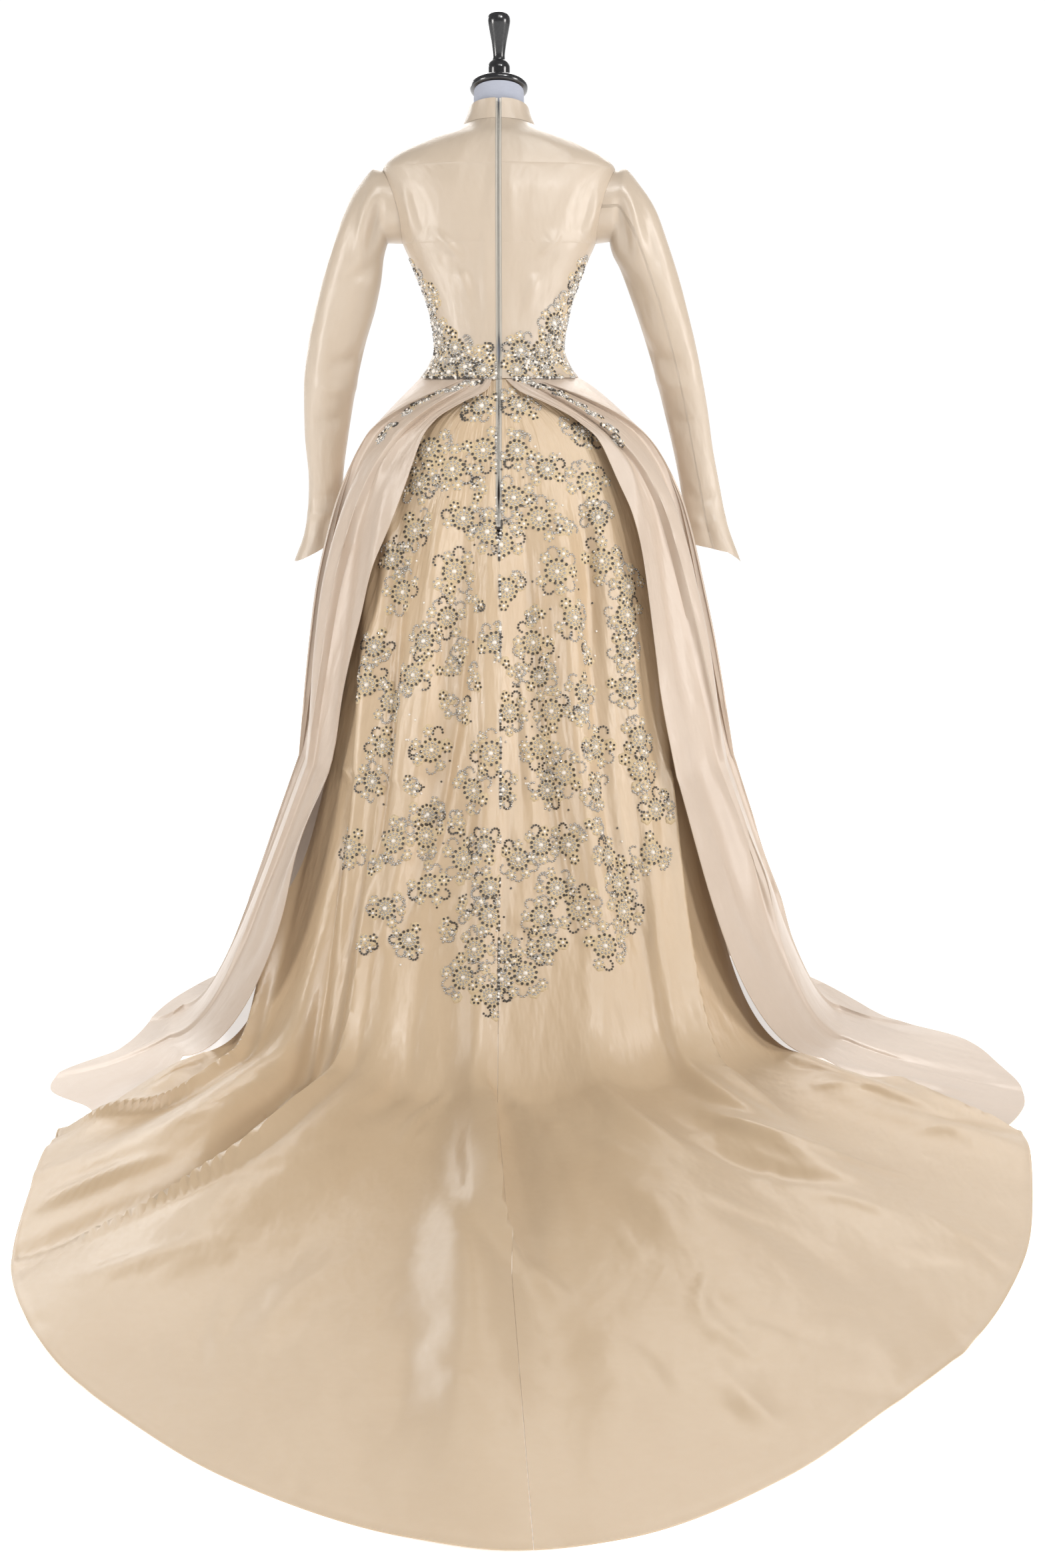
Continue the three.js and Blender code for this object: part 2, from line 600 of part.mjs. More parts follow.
// Place and rise of each panel fold on the way down
const foldLines = PANEL_FOLDS.map((fold) => {
  const places = [fold.hip, fold.knee, fold.land, fold.train, fold.hem];
  const table = FOLD_STAGES.map((along, i) => ({ along, place: places[i], rise: fold.rises[i] }));
  const started = [{ along: 0, place: fold.hip, rise: 0 }, ...table];
  return { wide: fold.wide, at: smoothRows(started, "along") };
});

// How far the back panel stands out at a place across it
function foldRise(across, along) {
  return foldLines.reduce((sum, line) => {
    const { place, rise } = line.at(along);
    return sum + rise * Math.exp(-(((across - place) / line.wide) ** 2));
  }, 0);
}

// Angle of the centre-back seam on the skirt, so that it stays above the pole
const seamAngle = (z) => Math.asin(-skirtAt(z).lean / skirtAt(z).half);

// A strand of the back panel at a place across it: -1 left edge, 0 centre-back seam, 1 right edge
function panelStrand(across) {
  const name = across < 0 ? "left" : "right";
  const sign = across < 0 ? -1 : 1;
  const share = Math.abs(across);
  const edgeAt = (z) => Math.max(PANEL_TOP_EDGE, overskirtAt(z)[name] + PANEL_OVERLAP);
  const landAngle = mix(PANEL_LAND.seam, sign * PANEL_LAND[name], share);
  const hemAngle = mix(PANEL_HEM.seam, sign * PANEL_HEM[name], share);
  const lift = TRAIN_CLOTH + PANEL_LIFT * ease(clamp01((share - 0.65) / 0.15));
  const landing = onFloor(landAngle * degrees, mix(PANEL_LAND.centreReach, PANEL_LAND.edgeReach, share), lift);
  const hem = onFloor(hemAngle * degrees, trainHemAt(hemAngle), lift);
  return {
    angleAt: (z) => mix(seamAngle(z), sign * edgeAt(z) * degrees, share),
    insetAt: (z) => panelInsetAt(z),
    flare: 0.2,
    landing,
    floorAt: (way) => landing.clone().lerp(hem, way),
  };
}

// A point of the back panel; beside the zip its edge stands clear of the tape
function panelPoint(across, along, side) {
  const point = strandPoint(panelStrand(across), along, foldRise(across, along));
  const opening = mix(SEAM, ZIP_HALF, clamp01((point.z - ZIP_END + 25) / 25));
  const middle = along > 2 ? 0 : strandPoint(panelStrand(0), along, foldRise(0, along)).x;
  point.x += (side * opening - middle) * Math.max(0, 1 - Math.abs(across) * 8);
  return point;
}

// Half of the back panel and train
function backPanel(side) {
  const columns = 22;
  const places = Array.from({ length: columns + 1 }, (_, i) => (side < 0 ? i / columns - 1 : i / columns));
  const grid = rowsDown(TRAIN_ROWS).map((along) => places.map((across) => panelPoint(across, along, side)));
  return clothWall(grid, false, TRAIN_CLOTH);
}

// Middle of the centre-back line at a level, down the collar, bodice and skirt
function centreBack(z) {
  if (z > NECKLINE) return bodyPoint(collarAt(z), z, 0);
  if (z >= WAIST) return bodyPoint(torsoAt(z), z, 0);
  return panelPoint(0, alongLevel(z), 0);
}

// One zip tape, lying in the opening between the two backs
function zipTape(side) {
  const levels = [1436, 1420, 1404, 1392, 1375, 1352, 1326, 1300, 1262, 1217, 1187, 1157, 1127, 1096, 1066, 1044];
  levels.push(1030, 1019, 1004, 985, 960, 930, 890, 845, ZIP_END + SEAM);
  const grid = levels.map((z) => {
    const middle = centreBack(z);
    const line = [SEAM / 2, ZIP_HALF - SEAM].map((out) => new THREE.Vector3(side * out, middle.y, middle.z));
    return side < 0 ? line.reverse() : line;
  });
  return clothWall(grid);
}

// The padded form: neck, the torso inside the bodice, and hips
function formTorso() {
  const ring = (row) => ringAngles.map((angle) => bodyPoint(row, row.z, angle));
  const covered = bodiceLevels().filter((z) => z > 1030).map((z) => ring({ z, ...torsoAt(z) }));
  return ringBody([...FORM_NECK.map(ring), ...inset(covered, CLOTH + FORM_GAP, true), ...FORM_HIPS.map(ring)]);
}

// The neck cap, a rounded disc that slopes down to the front
function neckCap() {
  const geometry = ringBody(turnedRings(CAP_PROFILE));
  geometry.rotateX(-Math.atan(CAP.tilt));
  geometry.translate(0, CAP.y, CAP.z);
  return geometry;
}

// The turned finial; its foot follows the slope of the cap
function finial() {
  const rings = turnedRings(FINIAL_PROFILE);
  const capTop = CAP.z + (CAP_PROFILE[0].z + SEAM) * Math.hypot(1, CAP.tilt);
  rings.push(rings[rings.length - 1].map(({ x, y }) => new THREE.Vector3(x, y, capTop - CAP.tilt * (y - CAP.y))));
  return ringBody(rings);
}

const satin = { color: 0xe8d6bd, roughness: 0.38 };
const overSatin = { color: 0xecd9c6, roughness: 0.38 };
const linen = { color: 0xb4b8c2, roughness: 0.85 };
const gloss = { color: 0x121212, roughness: 0.2 };
const tape = { color: 0x9a9486, roughness: 0.7 };

const group = new THREE.Group();

function addPiece(name, geometry, finish) {
  const mesh = new THREE.Mesh(geometry, new THREE.MeshStandardMaterial(finish));
  mesh.name = name;
  group.add(mesh);
}

addPiece("form_torso", formTorso(), linen);
addPiece("neck_cap", neckCap(), gloss);
addPiece("finial", finial(), gloss);
addPiece("stand_pole", ringBody(turnedRings(POLE_PROFILE)), gloss);
addPiece("stand_foot", ringBody(turnedRings(FOOT_PROFILE)), gloss);
addPiece("bodice_front", bodiceFront(), satin);
addPiece("bodice_back_left", bodiceBack(-1), satin);
addPiece("bodice_back_right", bodiceBack(1), satin);
addPiece("collar", collarBand(), satin);
addPiece("zip_tape_left", zipTape(-1), tape);
addPiece("zip_tape_right", zipTape(1), tape);
addPiece("sleeve_left", sleeve(-1, SLEEVE_LEFT), satin);
addPiece("sleeve_right", sleeve(1, SLEEVE_RIGHT), satin);
addPiece("overskirt_left", overskirt(-1), overSatin);
addPiece("overskirt_right", overskirt(1), overSatin);
addPiece("train_left", backPanel(-1), satin);
addPiece("train_right", backPanel(1), satin);
addPiece("skirt_front", skirtFront(), satin);

export default group;
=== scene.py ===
"""A long-sleeved satin wedding dress with a fan train, standing on a limbless dress form.

Sizes are in millimetres, +Z up, with the train towards -Y and the wearer's left towards -X.
Angles go round the pole from the centre back (0) to the right (90) and the front (180).
"""
from __future__ import annotations

import logging
import math
from collections.abc import Callable, Sequence
from dataclasses import dataclass, field
from enum import Enum

import bpy
import numpy as np
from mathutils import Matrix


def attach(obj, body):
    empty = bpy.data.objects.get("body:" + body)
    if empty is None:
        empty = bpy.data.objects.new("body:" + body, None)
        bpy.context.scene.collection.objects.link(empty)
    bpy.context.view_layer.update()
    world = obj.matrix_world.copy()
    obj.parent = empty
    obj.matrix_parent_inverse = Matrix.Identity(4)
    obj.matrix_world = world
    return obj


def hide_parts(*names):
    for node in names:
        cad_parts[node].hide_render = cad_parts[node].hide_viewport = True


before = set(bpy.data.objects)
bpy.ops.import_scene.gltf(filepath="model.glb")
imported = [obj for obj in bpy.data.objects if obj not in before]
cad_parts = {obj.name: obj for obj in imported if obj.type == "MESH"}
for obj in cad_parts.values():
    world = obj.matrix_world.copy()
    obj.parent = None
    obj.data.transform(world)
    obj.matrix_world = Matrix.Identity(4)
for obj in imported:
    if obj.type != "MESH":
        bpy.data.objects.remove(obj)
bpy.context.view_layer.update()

log = logging.getLogger("wedding_dress")
Array = np.ndarray
Colour = tuple[float, float, float]
Triple = tuple[float, float, float]
Flat = tuple[float, float]
Spot = tuple[int, int]

# Sizes that every piece shares
MM = 0.001
CLOTH = 1.2
TRAIN_CLOTH = 1.8
SEAM = 0.3
FORM_GAP = 3.0
BULGE = 2.2
NECK_BACK = 55.0
NECKLINE = 1404.0
WAIST = 1020.0
SKIRT_TOP = 1019.0
KNEE = 420.0
SIDE_SEAM = 100.0
ZIP_HALF = 4.5
ZIP_TOP = 1436.0
ZIP_END = 800.0
SEED = 1957


def ease(share: Array) -> Array:
    """A share from 0 to 1 with a soft start and end."""
    share = np.clip(share, 0, 1)
    return share * share * (3 - 2 * share)


def power(value: Array, exponent: float) -> Array:
    """A power that keeps the sign of its base."""
    return np.sign(value) * np.abs(value) ** exponent


def mix(start: Array, end: Array, share: Array) -> Array:
    """A value part of the way from start to end."""
    return start + (end - start) * share


class Line:
    """A smooth line through points, level beyond its ends."""

    def __init__(self, at: Sequence[float], value: Sequence) -> None:
        """Works out the line's slope at each point.

        Args:
            at: Places along the line, rising.
            value: The value at each place, a number or an array.
        """
        self.at = np.asarray(at, float)
        self.value = np.asarray(value, float)
        shape = (-1,) + (1,) * (self.value.ndim - 1)
        step = np.diff(self.value, axis=0) / np.diff(self.at).reshape(shape)
        before, after = step[:-1], step[1:]
        same_way = before * after > 0
        total = np.where(same_way, before + after, 1)
        inner = np.where(same_way, 2 * before * after / total, 0)
        self.slope = np.concatenate([step[:1], inner, step[-1:]])

    def __call__(self, wanted: Array) -> Array:
        """The line's value at each wanted place.

        Args:
            wanted: Places along the line.

        Returns:
            One value for each place.
        """
        place = np.clip(np.asarray(wanted, float), self.at[0], self.at[-1])
        i = np.clip(np.searchsorted(self.at, place) - 1, 0, len(self.at) - 2)
        span = self.at[i + 1] - self.at[i]
        t = (place - self.at[i]) / span
        extra = (1,) * (self.value.ndim - 1)
        t, span = t.reshape(t.shape + extra), span.reshape(span.shape + extra)
        start = self.value[i] * (1 + 2 * t) + self.slope[i] * span * t
        end = self.value[i + 1] * (3 - 2 * t) - self.slope[i + 1] * span * (1 - t)
        return start * (1 - t) ** 2 + end * t ** 2


class Table:
    """Rows of named columns, read as smooth lines along the first column."""

    def __init__(self, columns: str, *rows: tuple[float, ...]) -> None:
        """Keeps one line for each column after the first.

        Args:
            columns: The columns' names, with spaces between.
            rows: One row of numbers for each section.
        """
        values = np.array(rows, float)
        values = values[np.argsort(values[:, 0])]
        names = columns.split()
        self.lines = {name: Line(values[:, 0], values[:, i]) for i, name in enumerate(names) if i}

    def __call__(self, name: str, at: Array) -> Array:
        """A column's value at each wanted place."""
        return self.lines[name](at)


# Torso under the bodice's outer face, then the stand collar's outer face
TORSO = Table(
    "z half back front",
    (1404, 58, 55, 52), (1392, 82, 64, 56), (1375, 128, 78, 62), (1352, 165, 90, 68),
    (1334, 178, 96, 76), (1300, 174, 101, 96), (1262, 164, 100, 116), (1217, 147, 95, 128),
    (1187, 133, 91, 124), (1157, 121, 87, 114), (1127, 110, 83, 102), (1096, 104, 80, 92),
    (1066, 101, 78, 86), (1035, 112, 84, 90), (1020, 123, 91, 95),
)
COLLAR = Table(
    "z half back front",
    (1404.3, 58, 55, 52), (1415, 53.5, 52, 49), (1426, 49, 49, 46.5), (1437, 46, 46.5, 44),
)
NECK_SLOPE = Table("z slope", (1320, 0), (1404, 0.3), (1466, 0.38))

# Outer skirt from the waist to the knee: half width, lean to the right, depth either way
SKIRT = Table(
    "z half lean back front",
    (1019, 123, 0, 91, 95), (1004, 142, 5, 104, 105), (974, 174, 8, 122, 120),
    (943, 201, 10, 136, 134), (912, 221, 13, 148, 148), (865, 244, 15, 164, 166),
    (818, 263, 16, 178, 184), (723, 289, 16, 204, 216), (600, 313, 20, 232, 250),
    (420, 340, 26, 268, 294),
)


class Side(Enum):
    """A way of looking at cloth: the two axes seen, and the way that the seen face points."""

    BACK = ((0, 2), (0.0, -1.0, 0.0))
    FRONT = ((0, 2), (0.0, 1.0, 0.0))
    LEFT = ((1, 2), (-1.0, 0.0, 0.0))
    RIGHT = ((1, 2), (1.0, 0.0, 0.0))
    TOP = ((0, 1), (0.0, 0.0, 1.0))

    @property
    def axes(self) -> tuple[int, int]:
        """The two axes seen from this side."""
        return self.value[0]

    @property
    def facing(self) -> Array:
        """The way that the seen face points."""
        return np.array(self.value[1])


@dataclass(frozen=True)
class Crease:
    """A soft ridge, or a trough where its height is under 0, along a line seen from one side."""

    path: tuple[tuple[float, float], ...]
    height: float
    wide: float
    steep: float = 1.0

    def relief(self, flat: Array) -> Array:
        """How far the crease moves each point outward.

        Args:
            flat: The points as seen from the crease's side, two numbers each.

        Returns:
            One distance for each point.
        """
        count = len(self.path)
        along = np.linspace(0, count - 1, 8 * count)
        line = Line(range(count), self.path)(along)
        low, high = line.min(0) - 3 * self.wide, line.max(0) + 3 * self.wide
        near = np.all((flat > low) & (flat < high), axis=-1)
        relief = np.zeros(flat.shape[:-1])
        if not near.any():
            return relief
        starts, steps = line[:-1], np.diff(line, axis=0)
        offset = flat[near][:, None] - starts[None]
        length = (steps ** 2).sum(-1)
        share = np.clip((offset * steps).sum(-1) / length, 0, 1)
        gap = offset - share[..., None] * steps
        distance = np.linalg.norm(gap, axis=-1)
        best = distance.argmin(1)
        pick = np.arange(len(best))
        way = (best + share[pick, best]) / len(starts)
        turn = steps[best, 0] * gap[pick, best, 1] - steps[best, 1] * gap[pick, best, 0]
        wide = self.wide * np.where(turn > 0, self.steep, 1.0)
        swell = np.sin(np.pi * np.clip(way * 0.92 + 0.04, 0, 1)) ** 0.7
        relief[near] = self.height * swell * np.exp(-(distance[pick, best] / wide) ** 2)
        return relief


@dataclass
class Cloth:
    """A grid of cloth points: rows run down and columns run right, as seen from outside."""

    points: Array
    wrap: bool = False

    def normals(self) -> Array:
        """Outward unit normals of the grid.

        Returns:
            One normal for each point.
        """
        points = self.points
        down = np.empty_like(points)
        down[1:-1] = points[2:] - points[:-2]
        down[0], down[-1] = points[1] - points[0], points[-1] - points[-2]
        if self.wrap:
            across = np.roll(points, -1, 1) - np.roll(points, 1, 1)
        else:
            across = np.empty_like(points)
            across[:, 1:-1] = points[:, 2:] - points[:, :-2]
            across[:, 0], across[:, -1] = points[:, 1] - points[:, 0], points[:, -1] - points[:, -2]
        normal = np.cross(down, across)
        return normal / np.maximum(np.linalg.norm(normal, axis=-1, keepdims=True), 1e-9)

    def raise_by(self, relief: Array) -> None:
        """Moves each point outward by its own distance."""
        self.points = self.points + self.normals() * relief[..., None]

    def crease(self, side: Side, creases: Sequence[Crease], room: float = 40.0) -> None:
        """Presses creases into the cloth that faces one side.

        Args:
            side: The side from which the creases' lines are seen.
            creases: The ridges and troughs.
            room: How far a trough may sink before it meets what lies under the cloth.
        """
        flat = self.points[..., list(side.axes)]
        facing = ease((self.normals() @ side.facing) / 0.3)
        relief = sum(crease.relief(flat) for crease in creases)
        self.raise_by(np.maximum(relief * facing, -room))

    def at(self, row: Array, column: Array) -> tuple[Array, Array]:
        """Points and normals at places between the grid's own.

        Args:
            row: Rows, with parts of a row.
            column: Columns, with parts of a column.

        Returns:
            The points and the outward normals.
        """
        rows, columns = self.points.shape[:2]
        row, column = np.clip(row, 0, rows - 1.001), np.clip(column, 0, columns - 1.001)
        r, c = row.astype(int), column.astype(int)
        down, right = (row - r)[..., None], (column - c)[..., None]
        found = []
        for grid in (self.points, self.normals()):
            above = mix(grid[r, c], grid[r, c + 1], right)
            below = mix(grid[r + 1, c], grid[r + 1, c + 1], right)
            found.append(mix(above, below, down))
        normal = found[1] / np.linalg.norm(found[1], axis=-1, keepdims=True)
        return found[0], normal

    def nearest(self, side: Side, seen: Flat) -> Spot:
        """The row and column that show at a place seen from one side.

        Args:
            side: The side that the cloth is seen from.
            seen: The place along that side's two axes.

        Returns:
            The row and the column.
        """
        flat = self.points[..., list(side.axes)] - np.array(seen)
        hidden = (self.normals() @ side.facing < 0.05) * 1e6
        return np.unravel_index(((flat ** 2).sum(-1) + hidden).argmin(), flat.shape[:2])

    def walk(self, row: int, column: int, right: Array, down: Array) -> tuple[Array, Array]:
        """Places some way right of and below a starting place, measured over the folds.

        Args:
            row: The starting row.
            column: The starting column.
            right: Distances to the right along the cloth.
            down: Distances down along the cloth.

        Returns:
            Rows and columns, with parts of each.
        """
        fall = np.linalg.norm(np.diff(self.points[:, column], axis=0), axis=-1)
        depth = np.concatenate([[0], np.cumsum(fall)])
        rows = np.interp(depth[row] + down, depth, np.arange(len(depth)))
        columns = np.empty_like(rows)
        for i, (place, shift) in enumerate(zip(rows, right)):
            line = self.points[int(round(place))]
            width = np.concatenate([[0], np.cumsum(np.linalg.norm(np.diff(line, axis=0), axis=-1))])
            columns[i] = np.interp(width[column] + shift, width, np.arange(len(width)))
        return rows, columns

    def shell(self, name: str, thick: float = CLOTH) -> bpy.types.Object:
        """A closed thin shell: the outer face, the same face moved in, and the cut edges between.

        Args:
            name: The piece's name.
            thick: The cloth's thickness.

        Returns:
            The new mesh object.
        """
        rows, columns = self.points.shape[:2]
        inner = self.points - self.normals() * thick
        index = np.arange(rows * columns).reshape(rows, columns)
        if self.wrap:
            index = np.concatenate([index, index[:, :1]], axis=1)
        under = index + rows * columns
        faces = [strip(index[:-1, :-1], index[1:, :-1], index[1:, 1:], index[:-1, 1:])]
        faces.append(strip(under[:-1, :-1], under[:-1, 1:], under[1:, 1:], under[1:, :-1]))
        faces.append(strip(index[0, :-1], index[0, 1:], under[0, 1:], under[0, :-1]))
        faces.append(strip(index[-1, 1:], index[-1, :-1], under[-1, :-1], under[-1, 1:]))
        if not self.wrap:
            faces.append(strip(index[1:, 0], index[:-1, 0], under[:-1, 0], under[1:, 0]))
            faces.append(strip(index[:-1, -1], index[1:, -1], under[1:, -1], under[:-1, -1]))
        points = np.concatenate([self.points.reshape(-1, 3), inner.reshape(-1, 3)])
        piece = mesh_object(name, points, np.concatenate(faces))
        self.unfold(piece)
        log.info("%s: %.3f square metres", name, self.area())
        return piece

    def area(self) -> float:
        """Adds up the outer face.

        Returns:
            Its area in square metres.
        """
        edge = self.points[:-1, :-1]
        cross = np.cross(self.points[1:, :-1] - edge, self.points[:-1, 1:] - edge)
        return float(np.linalg.norm(cross, axis=-1).sum()) * MM * MM

    def unfold(self, piece: bpy.types.Object) -> None:
        """Gives a shell a flat map in metres, so that threads run straight along the cloth.

        Args:
            piece: The cloth's shell.
        """
        rows, columns = self.points.shape[:2]
        widths = np.linalg.norm(np.diff(self.points, axis=1), axis=-1).mean(0)
        depths = np.linalg.norm(np.diff(self.points, axis=0), axis=-1).mean(1)
        u = np.concatenate([[0], np.cumsum(widths)]) * MM
        v = np.concatenate([[0], np.cumsum(depths)]) * MM
        flat = np.stack(np.broadcast_arrays(u[None, :], v[:, None]), -1).reshape(-1, 2)
        lay_flat(piece, np.concatenate([flat, flat]))


def strip(*corners: Array) -> Array:
    """Four-cornered faces from arrays of their corners."""
    return np.stack([corner.ravel() for corner in corners], -1)


def lay_flat(piece: bpy.types.Object, flat: Array) -> None:
    """Gives a piece a flat map, in metres, for its threads.

    Args:
        piece: The mesh object.
        flat: Two numbers for each of its points.
    """
    corner = np.empty(len(piece.data.loops), int)
    piece.data.loops.foreach_get("vertex_index", corner)
    layer = piece.data.uv_layers.new(name="flat")
    layer.data.foreach_set("uv", flat[corner].astype(np.float32).ravel())


def mesh_object(
    name: str, points: Array, faces: Sequence, sharp: float = 50.0, smooth: bool = True
) -> bpy.types.Object:
    """A mesh object from points in millimetres.

    Args:
        name: The piece's name.
        points: The points, three numbers each.
        faces: The corners of each face.
        sharp: The angle in degrees past which an edge stays crisp.
        smooth: Whether its faces are shaded as one smooth surface.

    Returns:
        The new object, linked to the scene.
    """
    mesh = bpy.data.meshes.new(name)
    corners = [[int(corner) for corner in face] for face in faces]
    mesh.from_pydata((points * MM).tolist(), [], corners)
    mesh.set_sharp_from_angle(angle=math.radians(sharp))
    mesh.polygons.foreach_set("use_smooth", np.full(len(corners), smooth))
    mesh.validate()
    piece = bpy.data.objects.new(name, mesh)
    bpy.context.scene.collection.objects.link(piece)
    return piece


def add_piece(
    piece: bpy.types.Object, finish: Finish, nodes: Sequence[str] = ()
) -> bpy.types.Object:
    """Dresses a piece, sets it on the part's one body and hides the solids that it replaces.

    Args:
        piece: The mesh object.
        finish: Its finish.
        nodes: The solids that it replaces.

    Returns:
        The same piece.
    """
    piece.data.materials.append(finish.material())
    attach(piece, "root")
    if nodes:
        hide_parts(*nodes)
    log.info("%s: %d faces", piece.name, len(piece.data.polygons))
    return piece


class Value:
    """A number that changes over a surface; arithmetic on it adds the nodes."""

    def __init__(self, shader: Shader, socket: bpy.types.NodeSocket) -> None:
        """Keeps the socket and the shader that it is in."""
        self.shader = shader
        self.socket = socket

    def _math(self, operation: str, first: object, second: object) -> Value:
        """One step of arithmetic."""
        node = self.shader.node("ShaderNodeMath", {"operation": operation}, {0: first, 1: second})
        return Value(self.shader, node.outputs[0])

    def __add__(self, other: object) -> Value:
        """This value plus another."""
        return self._math("ADD", self, other)

    def __sub__(self, other: object) -> Value:
        """This value less another."""
        return self._math("SUBTRACT", self, other)

    def __rsub__(self, other: object) -> Value:
        """Another value less this one."""
        return self._math("SUBTRACT", other, self)

    def __mul__(self, other: object) -> Value:
        """This value times another."""
        return self._math("MULTIPLY", self, other)

    def __pow__(self, other: object) -> Value:
        """This value to a power."""
        return self._math("POWER", self, other)

    __radd__ = __add__
    __rmul__ = __mul__


class NodeTree:
    """The nodes of a material or of the room round the dress."""

    def __init__(self, tree: bpy.types.NodeTree) -> None:
        """Keeps the tree that new nodes go into."""
        self.tree = tree

    def node(self, kind: str, settings: dict, inputs: dict) -> bpy.types.Node:
        """Adds a node.

        Args:
            kind: The node's type.
            settings: Its properties, set first.
            inputs: Values or links of its sockets, by name or number.

        Returns:
            The node.
        """
        node = self.tree.nodes.new(kind)
        for name, value in settings.items():
            setattr(node, name, value)
        for name, value in inputs.items():
            self.feed(node.inputs[name], value)
        return node

    def feed(self, socket: bpy.types.NodeSocket, value: object) -> None:
        """Sets a socket's value or links something to it.

        Args:
            socket: The socket.
            value: A number, a colour, a socket or a changing value.
        """
        if isinstance(value, Value):
            value = value.socket
        if isinstance(value, bpy.types.NodeSocket):
            self.tree.links.new(value, socket)
        elif socket.type == "RGBA" and len(value) == 3:
            socket.default_value = (*value, 1)
        else:
            socket.default_value = value


class Shader(NodeTree):
    """A new material's nodes."""

    def __init__(self, name: str) -> None:
        """Makes the material with its one surface shader.

        Args:
            name: The material's name.
        """
        self.material = bpy.data.materials.new(name)
        self.material.use_nodes = True
        super().__init__(self.material.node_tree)
        self.surface = self.tree.nodes["Principled BSDF"]

    def place(self) -> bpy.types.NodeSocket:
        """The place on the object, in metres."""
        return self.node("ShaderNodeTexCoord", {}, {}).outputs["Object"]

    def flat_map(self) -> bpy.types.NodeSocket:
        """The place on the flat cloth, in metres."""
        return self.node("ShaderNodeUVMap", {"uv_map": "flat"}, {}).outputs[0]

    def noise(self, place: object, scale: float, detail: float = 3.0, rough: float = 0.5) -> Value:
        """Cloudy noise from 0 to 1 with so many clouds to a metre."""
        inputs = {"Vector": place, "Scale": scale, "Detail": detail, "Roughness": rough}
        return Value(self, self.node("ShaderNodeTexNoise", {}, inputs).outputs["Fac"])

    def threads(self, place: object, pitch: float, direction: str) -> Value:
        """Rows of threads with a pitch in metres.

        Args:
            place: The place on the cloth.
            pitch: From one thread to the next.
            direction: The axis across the threads.

        Returns:
            0 between threads to 1 on them.
        """
        settings = {"wave_type": "BANDS", "bands_direction": direction}
        inputs = {"Vector": place, "Scale": math.tau / 20 / pitch, "Distortion": 0.4, "Detail": 1.0}
        return Value(self, self.node("ShaderNodeTexWave", settings, inputs).outputs["Fac"])

    def stretch(self, place: object, scale: Triple, turn: float = 0.0) -> bpy.types.NodeSocket:
        """A place stretched along its axes and turned in its plane."""
        inputs = {"Vector": place, "Scale": scale, "Rotation": (0.0, 0.0, turn)}
        return self.node("ShaderNodeMapping", {}, inputs).outputs[0]

    def blend(self, share: object, first: object, second: object) -> bpy.types.NodeSocket:
        """A colour between two others."""
        node = self.node("ShaderNodeMix", {"data_type": "RGBA"}, {0: share, 6: first, 7: second})
        return node.outputs[2]

    def bump(self, height: Value, distance: float, strength: float = 1.0) -> None:
        """Roughens the surface by a height, in metres at most."""
        inputs = {"Height": height, "Distance": distance, "Strength": strength}
        self.set(Normal=self.node("ShaderNodeBump", {}, inputs).outputs[0])

    def set(self, **inputs: object) -> None:
        """Sets sockets of the surface shader; a line in a name stands for a space."""
        for name, value in inputs.items():
            self.feed(self.surface.inputs[name.replace("_", " ")], value)


@dataclass(frozen=True)
class Finish:
    """A finish with one material, made when it is first needed."""

    name: str

    def material(self) -> bpy.types.Material:
        """The finish's material.

        Returns:
            The material, built on its first use.
        """
        name = f"{self.name}_finish"
        found = bpy.data.materials.get(name)
        if found is None:
            shader = Shader(name)
            self.build(shader)
            found = shader.material
        return found

    def build(self, shader: Shader) -> None:
        """Fills in a new material."""
        raise NotImplementedError


@dataclass(frozen=True)
class Satin(Finish):
    """Heavy satin: a close weave, a broad soft gloss and a little mottling from age."""

    light: Colour = (0.59, 0.455, 0.305)
    dark: Colour = (0.52, 0.375, 0.23)
    thread: float = 0.0007
    gloss: float = 0.27

    def build(self, shader: Shader) -> None:
        """Fills in a new material.

        Args:
            shader: The new material's nodes.
        """
        place, flat = shader.place(), shader.flat_map()
        cloud = shader.noise(place, 5.0, 4.0)
        speck = shader.noise(place, 90.0, 2.0)
        weave = shader.threads(flat, self.thread, "Y")
        crumple = shader.noise(shader.stretch(flat, (38.0, 16.0, 1.0), 0.6), 1.0, 2.0, 0.45)
        age = cloud * 0.75 + speck * 0.25
        shader.set(
            Base_Color=shader.blend(age, self.light, self.dark),
            Roughness=self.gloss + speck * 0.08 + weave * 0.03,
            Specular_IOR_Level=1.0,
            Sheen_Weight=0.06,
            Sheen_Roughness=0.4,
            Sheen_Tint=(1.0, 0.9, 0.78, 1.0),
        )
        shader.bump(crumple * 0.9 + weave * 0.02, 0.005, 0.6)


@dataclass(frozen=True)
class Linen(Finish):
    """Plain linen over padding."""

    light: Colour = (0.46, 0.48, 0.55)
    dark: Colour = (0.33, 0.35, 0.42)
    thread: float = 0.0012

    def build(self, shader: Shader) -> None:
        """Fills in a new material.

        Args:
            shader: The new material's nodes.
        """
        flat = shader.flat_map()
        weave = shader.threads(flat, self.thread, "X") * 0.5
        weave = weave + shader.threads(flat, self.thread, "Y") * 0.5
        slub = shader.noise(shader.stretch(flat, (30.0, 700.0, 1.0)), 1.0, 2.0)
        shader.set(
            Base_Color=shader.blend(weave * 0.5 + slub * 0.5, self.dark, self.light),
            Roughness=0.82 + slub * 0.1,
            Sheen_Weight=0.1,
        )
        shader.bump(weave, 0.0003, 0.5)


